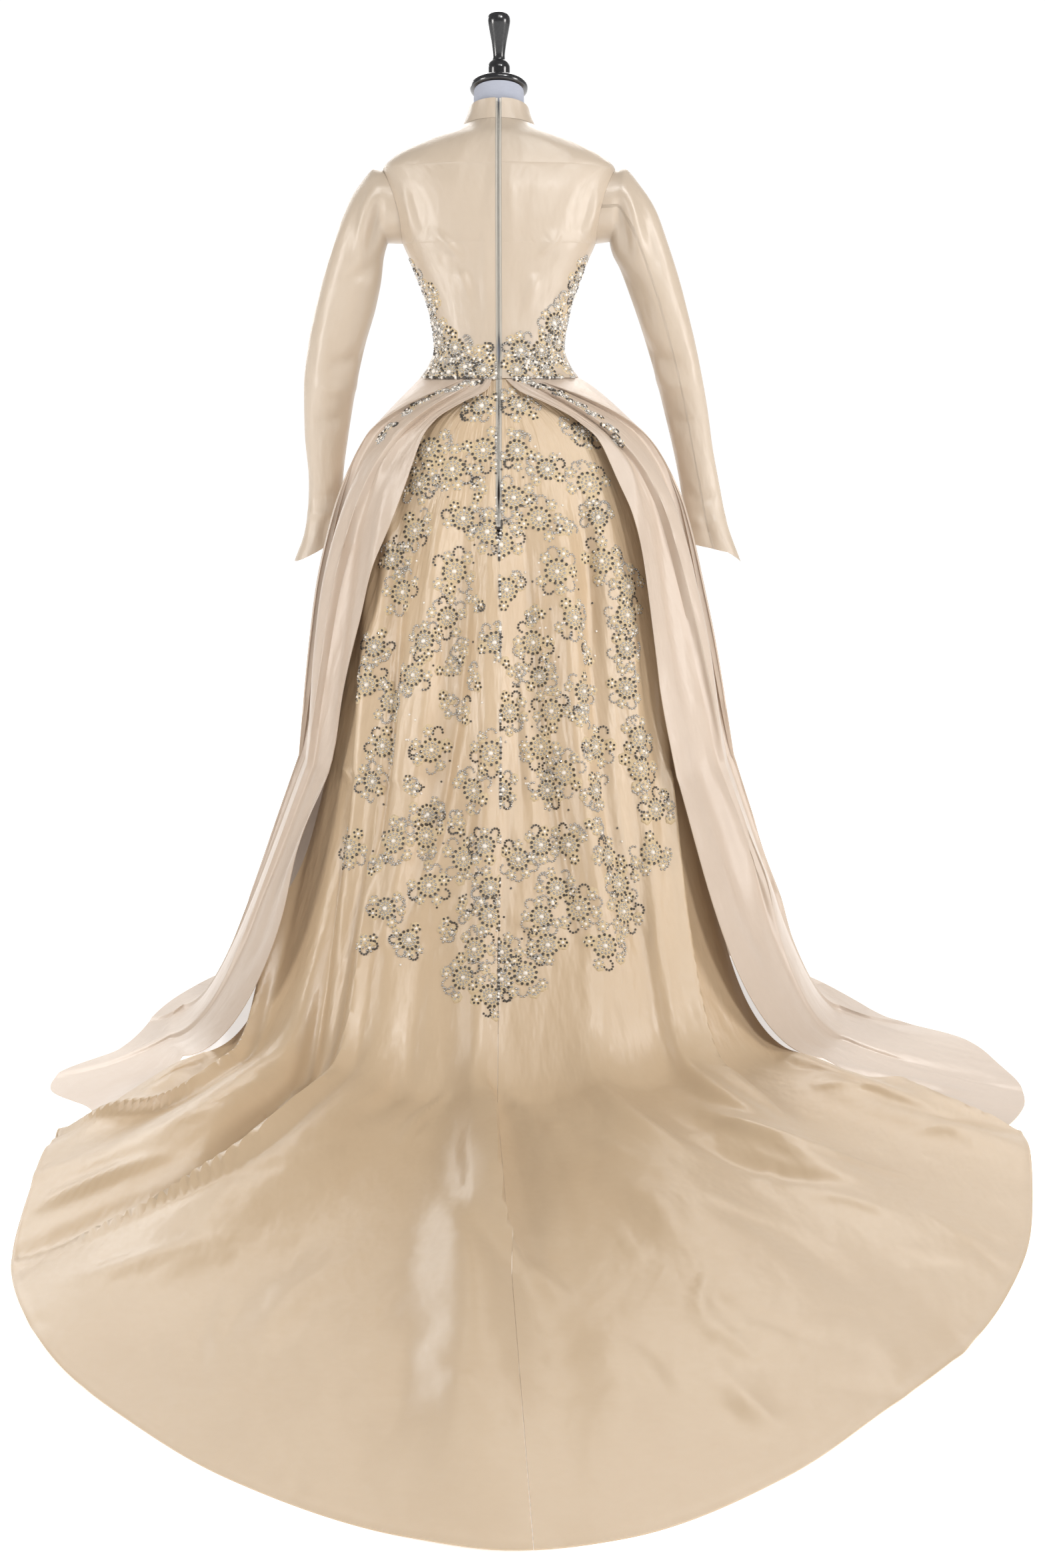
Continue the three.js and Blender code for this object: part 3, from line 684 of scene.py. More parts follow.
@dataclass(frozen=True)
class Lacquer(Finish):
    """Black lacquer on turned wood, or black paint on iron."""

    colour: Colour = (0.008, 0.008, 0.009)
    rough: float = 0.14
    grain: float = 60.0

    def build(self, shader: Shader) -> None:
        """Fills in a new material.

        Args:
            shader: The new material's nodes.
        """
        place = shader.place()
        dust = shader.noise(place, self.grain * 5, 3.0) ** 3.0
        grain = shader.noise(shader.stretch(place, (1.0, 1.0, 0.15)), self.grain, 3.0)
        worn = tuple(4 * part + 0.01 for part in self.colour)
        shader.set(
            Base_Color=shader.blend(dust, self.colour, worn),
            Roughness=self.rough + grain * 0.14 + dust * 0.15,
            Coat_Weight=0.6,
            Coat_Roughness=0.12,
        )
        shader.bump(grain, 0.0004, 0.25)


@dataclass(frozen=True)
class Tape(Finish):
    """Woven cotton tape with a rib."""

    light: Colour = (0.66, 0.63, 0.57)
    dark: Colour = (0.4, 0.36, 0.3)

    def build(self, shader: Shader) -> None:
        """Fills in a new material.

        Args:
            shader: The new material's nodes.
        """
        flat = shader.flat_map()
        rib = shader.threads(flat, 0.0009, "DIAGONAL")
        soil = shader.noise(shader.place(), 30.0, 3.0)
        shader.set(
            Base_Color=shader.blend(rib * 0.4 + soil * 0.6, self.light, self.dark),
            Roughness=0.75 + soil * 0.1,
        )
        shader.bump(rib, 0.0003, 0.5)


@dataclass(frozen=True)
class Gem(Finish):
    """Small hard trim: cut stones, glass beads, pearls or metal teeth."""

    light: Colour = (0.8, 0.8, 0.8)
    dark: Colour = (0.4, 0.4, 0.4)
    rough: float = 0.15
    metal: float = 0.0
    coat: float = 0.5

    def build(self, shader: Shader) -> None:
        """Fills in a new material.

        Args:
            shader: The new material's nodes.
        """
        place = shader.place()
        patch = shader.noise(place, 240.0, 2.0)
        spot = shader.noise(place, 700.0, 2.0)
        shader.set(
            Base_Color=shader.blend(patch, self.light, self.dark),
            Roughness=self.rough + spot * 0.1,
            Metallic=self.metal,
            Coat_Weight=self.coat,
            Coat_Roughness=0.08,
        )


@dataclass(frozen=True)
class Lace(Finish):
    """Gold and cream lace cord sewn down in close loops."""

    light: Colour = (0.68, 0.55, 0.36)
    dark: Colour = (0.5, 0.37, 0.21)

    def build(self, shader: Shader) -> None:
        """Fills in a new material.

        Args:
            shader: The new material's nodes.
        """
        place = shader.place()
        inputs = {"Vector": place, "Scale": 420.0}
        cells = shader.node("ShaderNodeTexVoronoi", {"feature": "F1"}, inputs)
        loops = Value(shader, cells.outputs["Distance"])
        soil = shader.noise(place, 60.0, 2.0)
        shader.set(
            Base_Color=shader.blend(loops * 0.6 + soil * 0.5, self.light, self.dark),
            Roughness=0.55 + soil * 0.15,
            Sheen_Weight=0.2,
        )
        shader.bump(1 - loops, 0.0008, 0.7)


SATIN = Satin("satin")
OVER_SATIN = Satin("overskirt_satin", light=(0.58, 0.48, 0.39), dark=(0.52, 0.41, 0.32), gloss=0.3)
BODICE_SATIN = Satin("bodice_satin", light=(0.55, 0.46, 0.365), dark=(0.49, 0.395, 0.295))
LINEN = Linen("form_linen")
LACQUER = Lacquer("black_lacquer")
IRON = Lacquer("black_iron", (0.012, 0.012, 0.012), 0.4, 220.0)
TAPE = Tape("zip_tape")
NICKEL = Gem("zip_nickel", (0.6, 0.58, 0.54), (0.3, 0.28, 0.25), 0.3, 0.7, 0.0)
STONE = Gem("dark_stone", (0.12, 0.105, 0.09), (0.035, 0.03, 0.026), 0.12, 0.35, 0.8)
CRYSTAL = Gem("silver_glass", (0.66, 0.63, 0.58), (0.2, 0.18, 0.16), 0.1, 0.4, 0.7)
PEARL = Gem("pearl", (0.88, 0.83, 0.76), (0.74, 0.66, 0.58), 0.2, 0.0, 0.6)
LACE = Lace("gold_lace")


def body_points(table: Table, z: Array, angle: Array) -> Array:
    """Points on a rounded section, lowered towards the front near the neck.

    Args:
        table: The section's half width and depth either way, by level.
        z: Levels.
        angle: Angles round the pole, in radians.

    Returns:
        The points, three numbers each.
    """
    z, angle = np.broadcast_arrays(z, angle)
    depth = np.where(np.cos(angle) > 0, table("back", z), table("front", z))
    x = table("half", z) * power(np.sin(angle), 2 / BULGE)
    y = -depth * power(np.cos(angle), 2 / BULGE)
    return np.stack([x, y, z - NECK_SLOPE("slope", z) * (y + NECK_BACK)], -1)


def angle_at_depth(distance: Array, depth: Array) -> Array:
    """The angle at which a section reaches a distance behind or before the side line."""
    return np.arccos(np.clip(distance / depth, 0, 1) ** (BULGE / 2))


def angle_at_side(distance: Array, half: Array) -> Array:
    """The angle at which a section is a distance from its middle line."""
    return np.arcsin(np.clip(distance / half, 0, 1) ** (BULGE / 2))


def turned(profile: Sequence[tuple[float, float]], columns: int, rows: int) -> Array:
    """Rings of a piece turned about the pole.

    Args:
        profile: Level and radius of each ring, top to bottom.
        columns: Points in a ring.
        rows: Rings between one row of the profile and the next.

    Returns:
        The grid of points.
    """
    table = np.array(profile, float)
    place = np.linspace(0, len(table) - 1, (len(table) - 1) * rows + 1)
    z, radius = Line(range(len(table)), table)(place).T[..., None]
    angle = np.linspace(0, math.tau, columns, endpoint=False)[None]
    flat = np.broadcast_arrays(radius * np.sin(angle), -radius * np.cos(angle), z)
    return np.stack(flat, -1)


def ring_body(name: str, grid: Array) -> bpy.types.Object:
    """A closed body from rings listed top to bottom, with a flat map for its threads.

    Args:
        name: The piece's name.
        grid: The rings' points.

    Returns:
        The new mesh object.
    """
    rows, columns = grid.shape[:2]
    points = np.concatenate([grid.reshape(-1, 3), grid[:1].mean(1), grid[-1:].mean(1)])
    index = np.arange(rows * columns).reshape(rows, columns)
    index = np.concatenate([index, index[:, :1]], axis=1)
    sides = strip(index[:-1, :-1], index[1:, :-1], index[1:, 1:], index[:-1, 1:])
    top, bottom = np.full(columns, rows * columns), np.full(columns, rows * columns + 1)
    caps = strip(top, index[0, :-1], index[0, 1:]).tolist()
    caps += strip(bottom, index[-1, 1:], index[-1, :-1]).tolist()
    piece = mesh_object(name, points, sides.tolist() + caps, 40.0)
    turn = np.arctan2(points[:, 0], -points[:, 1]) * 100
    lay_flat(piece, np.stack([turn, points[:, 2]], -1) * MM)
    return piece


@dataclass
class DressForm:
    """The limbless form: padded torso, turned cap and finial, pole and round foot."""

    columns: int = 96
    cap_y: float = -1.0
    cap_z: float = 1446.5
    cap_tilt: float = 0.38
    neck: tuple = ((1466, 38, 38, 37), (1440, 39, 39, 38), (1424, 41, 41, 39), (1412, 46, 46, 43))
    hips: tuple = ((1000, 122, 90, 92), (940, 148, 104, 98), (880, 160, 110, 100), (825, 158, 108, 97),
                   (798, 150, 101, 91), (790, 143, 96, 86))
    cap: tuple = ((13, 12), (12.5, 36), (10, 42.5), (6, 44), (2, 43), (0, 40))
    knob: tuple = ((1563, 6), (1561, 12), (1556, 16.2), (1549, 17.5), (1536, 15.4), (1516, 11.4),
                   (1499, 9.2), (1494, 9.6), (1490, 13.5), (1482, 17), (1475, 17))
    levels: tuple = (1404, 1392, 1375, 1352, 1335, 1318, 1278, 1240, 1221, 1187, 1157, 1127, 1096, 1066,
                     1042)
    pole: tuple = ((789.7, 15), (788, 16), (38, 16), (36.3, 15))
    foot: tuple = ((36, 26), (24, 32), (18, 60), (12, 162), (8, 170), (0, 170))

    def torso_grid(self) -> Array:
        """Rings of the padded torso: neck, the part inside the bodice, and hips.

        Returns:
            The rings, top to bottom.
        """
        angle = np.linspace(0, math.tau, self.columns, endpoint=False)[None]
        levels = np.array(self.levels, float)[:, None]
        covered = Cloth(body_points(TORSO, levels, angle), wrap=True)
        inside = covered.points - covered.normals() * (CLOTH + FORM_GAP)
        neck, hips = (
            body_points(Table("z half back front", *rows), np.array(rows, float)[:, :1], angle)
            for rows in (self.neck, self.hips)
        )
        rings = np.concatenate([neck, inside, hips])
        place = np.linspace(0, len(rings) - 1, 4 * len(rings) - 3)
        return Line(range(len(rings)), rings)(place)

    def cap_grid(self) -> Array:
        """Rings of the neck cap, sloping down to the front.

        Returns:
            The rings, top to bottom.
        """
        rings = turned(self.cap, self.columns, 4)
        tilt = math.atan(self.cap_tilt)
        y = rings[..., 1] * math.cos(tilt) + rings[..., 2] * math.sin(tilt)
        z = -rings[..., 1] * math.sin(tilt) + rings[..., 2] * math.cos(tilt)
        return np.stack([rings[..., 0], y + self.cap_y, z + self.cap_z], -1)

    def knob_grid(self) -> Array:
        """Rings of the finial; its foot follows the slope of the cap.

        Returns:
            The rings, top to bottom.
        """
        rings = turned(self.knob, self.columns, 4)
        top = self.cap_z + (self.cap[0][0] + SEAM) * math.hypot(1, self.cap_tilt)
        foot = rings[-1:].copy()
        foot[..., 2] = top - self.cap_tilt * (foot[..., 1] - self.cap_y)
        return np.concatenate([rings, foot])

    def build(self) -> None:
        """Builds and dresses the form's pieces."""
        plain = self.columns
        grids = {
            "form_torso": (self.torso_grid(), LINEN, "form_linen"),
            "neck_cap": (self.cap_grid(), LACQUER, "black_wood"),
            "finial": (self.knob_grid(), LACQUER, "black_wood"),
            "stand_pole": (turned(self.pole, plain, 2), IRON, "black_iron"),
            "stand_foot": (turned(self.foot, plain, 2), IRON, "black_iron"),
        }
        for node, (grid, finish, slot) in grids.items():
            add_piece(ring_body(f"{node}_fine", grid), finish, [node])


@dataclass
class Bodice:
    """The fitted bodice: two backs beside the zip, one front, and a stand collar."""

    armhole_z: float = 1278.0
    armhole_high: float = 57.0
    armhole_back: float = 44.0
    armhole_front: float = 47.0
    columns: int = 52
    room: float = 1.5
    backs: dict = field(default_factory=dict)
    drags: tuple = (
        Crease(((-96, 1238), (-78, 1222), (-58, 1202)), 4.94, 9, 0.6),
        Crease(((-88, 1206), (-70, 1190), (-50, 1178)), -4.56, 9),
        Crease(((-66, 1188), (-54, 1168), (-46, 1146)), 3.8, 8),
        Crease(((-42, 1176), (-36, 1150), (-32, 1118)), -3.04, 7),
        Crease(((-28, 1362), (-34, 1310), (-42, 1262)), -4.94, 16),
        Crease(((-128, 1300), (-118, 1268), (-112, 1240)), -5.7, 10),
        Crease(((-142, 1300), (-132, 1262), (-126, 1232)), 4.94, 9),
        Crease(((-18, 1240), (-20, 1180), (-18, 1110)), 2.66, 7),
        Crease(((94, 1240), (80, 1218), (62, 1200)), 4.56, 10, 0.6),
        Crease(((84, 1204), (66, 1188), (52, 1168)), -3.8, 9),
        Crease(((60, 1180), (50, 1150), (44, 1122)), 3.42, 8),
        Crease(((30, 1170), (28, 1130), (26, 1098)), -2.66, 7),
        Crease(((136, 1312), (126, 1272), (116, 1236)), -5.7, 10),
        Crease(((150, 1296), (142, 1262), (132, 1232)), 4.94, 8),
        Crease(((18, 1330), (20, 1262), (18, 1200)), 2.28, 8),
    )
    bust: tuple = (
        Crease(((-112, 1238), (-96, 1226), (-78, 1220)), -4.56, 9),
        Crease(((110, 1236), (94, 1224), (78, 1216)), -4.18, 10),
        Crease(((-62, 1190), (-52, 1140), (-44, 1080)), -3.04, 6),
        Crease(((62, 1188), (53, 1140), (44, 1078)), -3.04, 6),
        Crease(((-30, 1150), (-26, 1110), (-26, 1070)), 2.66, 8),
        Crease(((34, 1146), (30, 1104), (28, 1066)), 2.66, 9),
    )

    def levels(self) -> Array:
        """Levels from the neck to the waist, closer at the ends of the armhole.

        Returns:
            The levels, top to bottom.
        """
        turn = np.linspace(0.5, -0.5, 41) * math.pi
        beside = self.armhole_z + self.armhole_high * np.sin(turn)
        above = np.linspace(NECKLINE, beside[0], 15)[:-1]
        below = np.linspace(beside[-1], WAIST, 50)[1:]
        return np.concatenate([above, beside, below])

    def armhole_depth(self, z: Array, depth: float) -> Array:
        """Distance of the armhole's edge from the side line at each level."""
        rise = np.clip(np.abs(z - self.armhole_z) / self.armhole_high, 0, 1)
        return np.maximum(SEAM, depth * np.sqrt(1 - rise ** 2))

    def back_grid(self, side: int) -> Array:
        """Points of half of the back.

        Args:
            side: -1 for the left half, +1 for the right.

        Returns:
            The grid of points.
        """
        z = self.levels()[:, None]
        outer = angle_at_depth(self.armhole_depth(z, self.armhole_back), TORSO("back", z))
        centre = angle_at_side(ZIP_HALF, TORSO("half", z))
        share = np.linspace(0, 1, self.columns + 1)[None]
        angle = mix(-outer, -centre, share) if side < 0 else mix(centre, outer, share)
        return body_points(TORSO, z, angle)

    def front_grid(self) -> Array:
        """Points of the front, from the right side seam round to the left.

        Returns:
            The grid of points.
        """
        z = self.levels()[:, None]
        outer = math.pi - angle_at_depth(self.armhole_depth(z, self.armhole_front), TORSO("front", z))
        share = np.linspace(0, 1, 2 * self.columns + 1)[None]
        return body_points(TORSO, z, mix(outer, math.tau - outer, share))

    def collar_grid(self) -> Array:
        """Points of the stand collar, from one side of the zip round the front to the other.

        Returns:
            The grid of points.
        """
        z = np.linspace(1437, 1404.3, 15)[:, None]
        centre = angle_at_side(ZIP_HALF, COLLAR("half", z))
        share = np.linspace(0, 1, 121)[None]
        return body_points(COLLAR, z, mix(centre, math.tau - centre, share))

    def build(self) -> None:
        """Builds and dresses the bodice's pieces."""
        for side, name in ((-1, "left"), (1, "right")):
            cloth = Cloth(self.back_grid(side))
            cloth.crease(Side.BACK, self.drags, self.room)
            self.backs[side] = cloth
            shell = cloth.shell(f"back_{name}_satin")
            piece = add_piece(shell, BODICE_SATIN, [f"bodice_back_{name}"])
        cloth = Cloth(self.front_grid())
        cloth.crease(Side.FRONT, self.bust, self.room)
        self.backs[0] = cloth
        piece = add_piece(cloth.shell("front_satin"), BODICE_SATIN, ["bodice_front"])
        shell = Cloth(self.collar_grid()).shell("collar_satin")
        piece = add_piece(shell, BODICE_SATIN, ["collar"])


@dataclass
class Sleeve:
    """A long slim sleeve that ends in a slanted point over the hand."""

    side: int
    rows: tuple
    bodice: Bodice
    creases: tuple = ()
    columns: int = 64
    steps: int = 11

    def head(self, turn: Array) -> Array:
        """Points of the ring that lies in the armhole.

        Args:
            turn: Angles round the ring, in radians.

        Returns:
            The ring's points.
        """
        bodice = self.bodice
        across = -self.side * np.cos(turn)
        reach = np.where(across < 0, bodice.armhole_back, bodice.armhole_front) - SEAM
        z = bodice.armhole_z + (bodice.armhole_high - SEAM) * np.sin(turn)
        depth = np.where(across < 0, TORSO("back", z), TORSO("front", z))
        from_side = angle_at_depth(np.abs(across) * reach, depth)
        return body_points(TORSO, z, self.side * np.where(across < 0, from_side, math.pi - from_side))

    def ring(self, turn: Array, row: tuple[float, ...]) -> Array:
        """Points of one ring of the table.

        Args:
            turn: Angles round the ring, in radians.
            row: The ring's row of the sleeve's table.

        Returns:
            The ring's points.
        """
        out_x, out_z, under_x, under_z, depth, y, point = row
        share = (1 + np.sin(turn)) / 2
        dip = point * np.maximum(0, np.sin(turn - self.side * 0.5 * np.sign(np.cos(turn))))
        x = self.side * mix(under_x, out_x, share)
        z = mix(under_z, out_z, share) - dip
        return np.stack([x, y - self.side * depth / 2 * np.cos(turn), z], -1)

    def build(self) -> None:
        """Builds and dresses the sleeve."""
        name = "left" if self.side < 0 else "right"
        turn = np.linspace(0, math.tau, self.columns, endpoint=False)
        rings = np.stack([self.head(turn)] + [self.ring(turn, row) for row in self.rows])
        place = np.linspace(0, len(rings) - 1, (len(rings) - 1) * self.steps + 1)
        cloth = Cloth(Line(range(len(rings)), rings)(place), wrap=True)
        calm = ease(place / 1.5)[:, None] * np.ones(self.columns)
        drawn = Cloth(cloth.points, wrap=True)
        for side in (Side.BACK, Side.FRONT):
            drawn.crease(side, self.creases)
        cloth.points = mix(cloth.points, drawn.points, calm[..., None])
        piece = add_piece(cloth.shell(f"sleeve_{name}_satin"), BODICE_SATIN, [f"sleeve_{name}"])


SLEEVE_LEFT = (
    (190, 1334, 171, 1222, 86, 0, 0), (217, 1306, 175, 1214, 84, 1, 0),
    (240, 1268, 179, 1198, 82, 3, 0), (262, 1211, 183, 1168, 78, 7, 0),
    (282, 1145, 193, 1124, 73, 14, 0), (299, 1075, 212, 1064, 67, 24, 0),
    (310, 1002, 229, 994, 60, 39, 0), (312, 928, 243, 922, 52, 58, 0),
    (309, 862, 253, 860, 45, 76, 0), (312, 812, 256, 814, 42, 88, 0),
    (319, 774, 258, 784, 43, 95, 4), (337, 733, 260, 754, 44, 100, 12),
)
SLEEVE_RIGHT = (
    (191, 1335, 170, 1224, 86, 0, 0), (218, 1307, 172, 1216, 84, 1, 0),
    (240, 1275, 176, 1204, 82, 3, 0), (263, 1217, 187, 1184, 77, 7, 0),
    (284, 1155, 204, 1142, 71, 14, 0), (301, 1092, 226, 1082, 65, 24, 0),
    (317, 1028, 246, 1020, 58, 39, 0), (331, 968, 263, 960, 52, 58, 0),
    (342, 906, 279, 900, 46, 76, 0), (355, 846, 291, 846, 44, 88, 0),
    (369, 788, 299, 798, 45, 95, 4), (393, 732, 304, 752, 46, 100, 13),
)
SLEEVE_CREASES_LEFT = (
    Crease(((-178, 1290), (-188, 1250), (-200, 1205)), -7.5, 9),
    Crease(((-192, 1300), (-206, 1256), (-214, 1196)), 6, 9),
    Crease(((-186, 1196), (-206, 1178), (-236, 1168)), -4.5, 10),
    Crease(((-212, 1060), (-238, 1042), (-268, 1036)), -5.1, 11),
    Crease(((-226, 1010), (-252, 1000), (-284, 1004)), 4.2, 11),
    Crease(((-236, 966), (-262, 950), (-296, 948)), -3.9, 10),
    Crease(((-262, 1130), (-276, 1060), (-284, 980)), 3.6, 14),
    Crease(((-258, 846), (-276, 828), (-304, 826)), -3.6, 9),
    Crease(((-262, 818), (-284, 800), (-312, 800)), 3.3, 8),
    Crease(((-278, 800), (-286, 770), (-292, 744)), -3.3, 7),
)
SLEEVE_CREASES_RIGHT = (
    Crease(((178, 1292), (188, 1252), (196, 1204)), -7.5, 9),
    Crease(((194, 1304), (206, 1256), (216, 1200)), 6.3, 9),
    Crease(((214, 1296), (232, 1240), (242, 1180)), -4.5, 10),
    Crease(((190, 1180), (214, 1150), (232, 1100)), -5.1, 12),
    Crease(((228, 1074), (252, 1046), (286, 1040)), -4.5, 11),
    Crease(((248, 1022), (272, 1006), (304, 1010)), 3.9, 11),
    Crease(((266, 968), (290, 946), (324, 948)), -4.2, 11),
    Crease(((284, 1120), (302, 1040), (316, 960)), 3.3, 13),
    Crease(((292, 846), (318, 824), (352, 826)), -3.6, 9),
    Crease(((300, 800), (330, 784), (362, 792)), 3.6, 9),
    Crease(((330, 800), (336, 770), (344, 738)), -3.6, 8),
)


@dataclass
class Fall:
    """Strands of cloth that fall from the waist, land and lie on the floor."""

    angle_at: Callable[[Array], Array]
    inset_at: Callable[[Array], Array]
    flare: float
    landing: Array
    floor_at: Callable[[Array], Array]
    drop: float = 0.42
    sweep: float = 0.62

    def hang(self, z: Array, outset: Array) -> Array:
        """Points above the knee at each level, moved outward.

        Args:
            z: Levels.
            outset: How far each point moves.

        Returns:
            The grid of points.
        """
        angle = self.angle_at(z)
        depth = np.where(np.cos(angle) > 0, SKIRT("back", z), SKIRT("front", z)) + outset
        x = SKIRT("lean", z) + (SKIRT("half", z) + outset) * np.sin(angle)
        return np.stack(np.broadcast_arrays(x, -depth * np.cos(angle), z), -1)

    def points(self, along: Array, rise: Array) -> Array:
        """Points of the whole cloth.

        Args:
            along: Rows: 0 to 1 falls to the knee, 1 to 2 lands on the floor, 2 to 3 lies on it.
            rise: How far each point moves outward or up.

        Returns:
            The grid of points.
        """
        falls, lands, lies = along <= 1, (along > 1) & (along <= 2), along > 2
        z = mix(SKIRT_TOP, KNEE, along[falls])[:, None]
        hanging = self.hang(z, rise[falls] - self.inset_at(z))
        level = np.array([[KNEE]])
        knee = self.hang(level, -self.inset_at(level))[0]
        out = (self.landing - knee) * np.array([1, 1, 0])
        drop = np.array([0, 0, self.drop * KNEE])
        first = knee + self.flare * out - drop
        second = self.landing + (self.flare - self.sweep) * out
        t = (along[lands] - 1)[:, None, None]
        curve = (1 - t) ** 3 * knee + 3 * t * (1 - t) ** 2 * first
        curve = curve + 3 * t ** 2 * (1 - t) * second + t ** 3 * self.landing
        flat, lift = ease(t), rise[lands][..., None]
        outward = out / np.linalg.norm(out, axis=-1, keepdims=True)
        up = np.array([0, 0, 1.0])
        landing = curve + outward * lift * (1 - flat) + up * lift * flat
        lying = self.floor_at((along[lies] - 2)[:, None]) + up * rise[lies][..., None]
        return np.concatenate([hanging, landing, lying])


def on_floor(angle: Array, reach: Array, z: Array) -> Array:
    """Points on the floor at an angle and a reach from the pole."""
    flat = np.broadcast_arrays(reach * np.sin(angle), -reach * np.cos(angle), z)
    return np.stack(flat, -1)


def seam_turn(radius: Array) -> Array:
    """Half of a seam's opening, as an angle in degrees, at a distance from the pole."""
    return np.degrees(SEAM / radius)


def rows_down(fall: int, landing: int, floor: int) -> Array:
    """Rows from the waist to the hem, closer together at the waist and in the hem's last band.

    Args:
        fall: Rows down to the knee.
        landing: Rows from the knee to the floor.
        floor: Rows on the floor.

    Returns:
        The rows: 0 at the waist, 1 at the knee, 2 at the floor, 3 at the hem.
    """
    waist = np.linspace(0, 1, fall + 1) ** 1.25
    land = np.linspace(1, 2, landing + 1)[1:]
    lie = 2 + (1 - (1 - np.linspace(0, 1, floor + 1)[1:]) ** 1.2)
    return np.concatenate([waist, land, lie])


# Outer skirt on the floor: reach from the pole where it lands and at its hem, by angle
SKIRT_FLOOR = Table(
    "angle left_land left_hem right_land right_hem",
    (44, 560, 800, 575, 918), (50, 560, 772, 575, 920), (56, 560, 785, 575, 908),
    (61, 560, 755, 575, 880), (67, 556, 640, 575, 825), (75, 545, 590, 572, 756),
    (82, 532, 568, 565, 630), (90, 515, 548, 550, 590), (100, 496, 526, 530, 560),
    (140, 440, 465, 450, 475), (180, 405, 428, 405, 428),
)

# Overskirt by level: angle of its free edge each side, of its two tucks, and how far a tuck stands out
OVERSKIRT = Table(
    "z left right lower upper tuck",
    (1019, 5, 5, 14, 26, 0.5), (1004, 9, 9, 24, 38, 5), (985, 22, 22, 34, 52, 9),
    (960, 33, 34, 43, 66, 11), (930, 37, 40, 50, 78, 12), (865, 39, 42, 58, 86, 12),
    (746, 44, 44, 62, 87, 11), (560, 54, 44, 66, 87, 10), (420, 60, 46, 70, 87, 9),
)


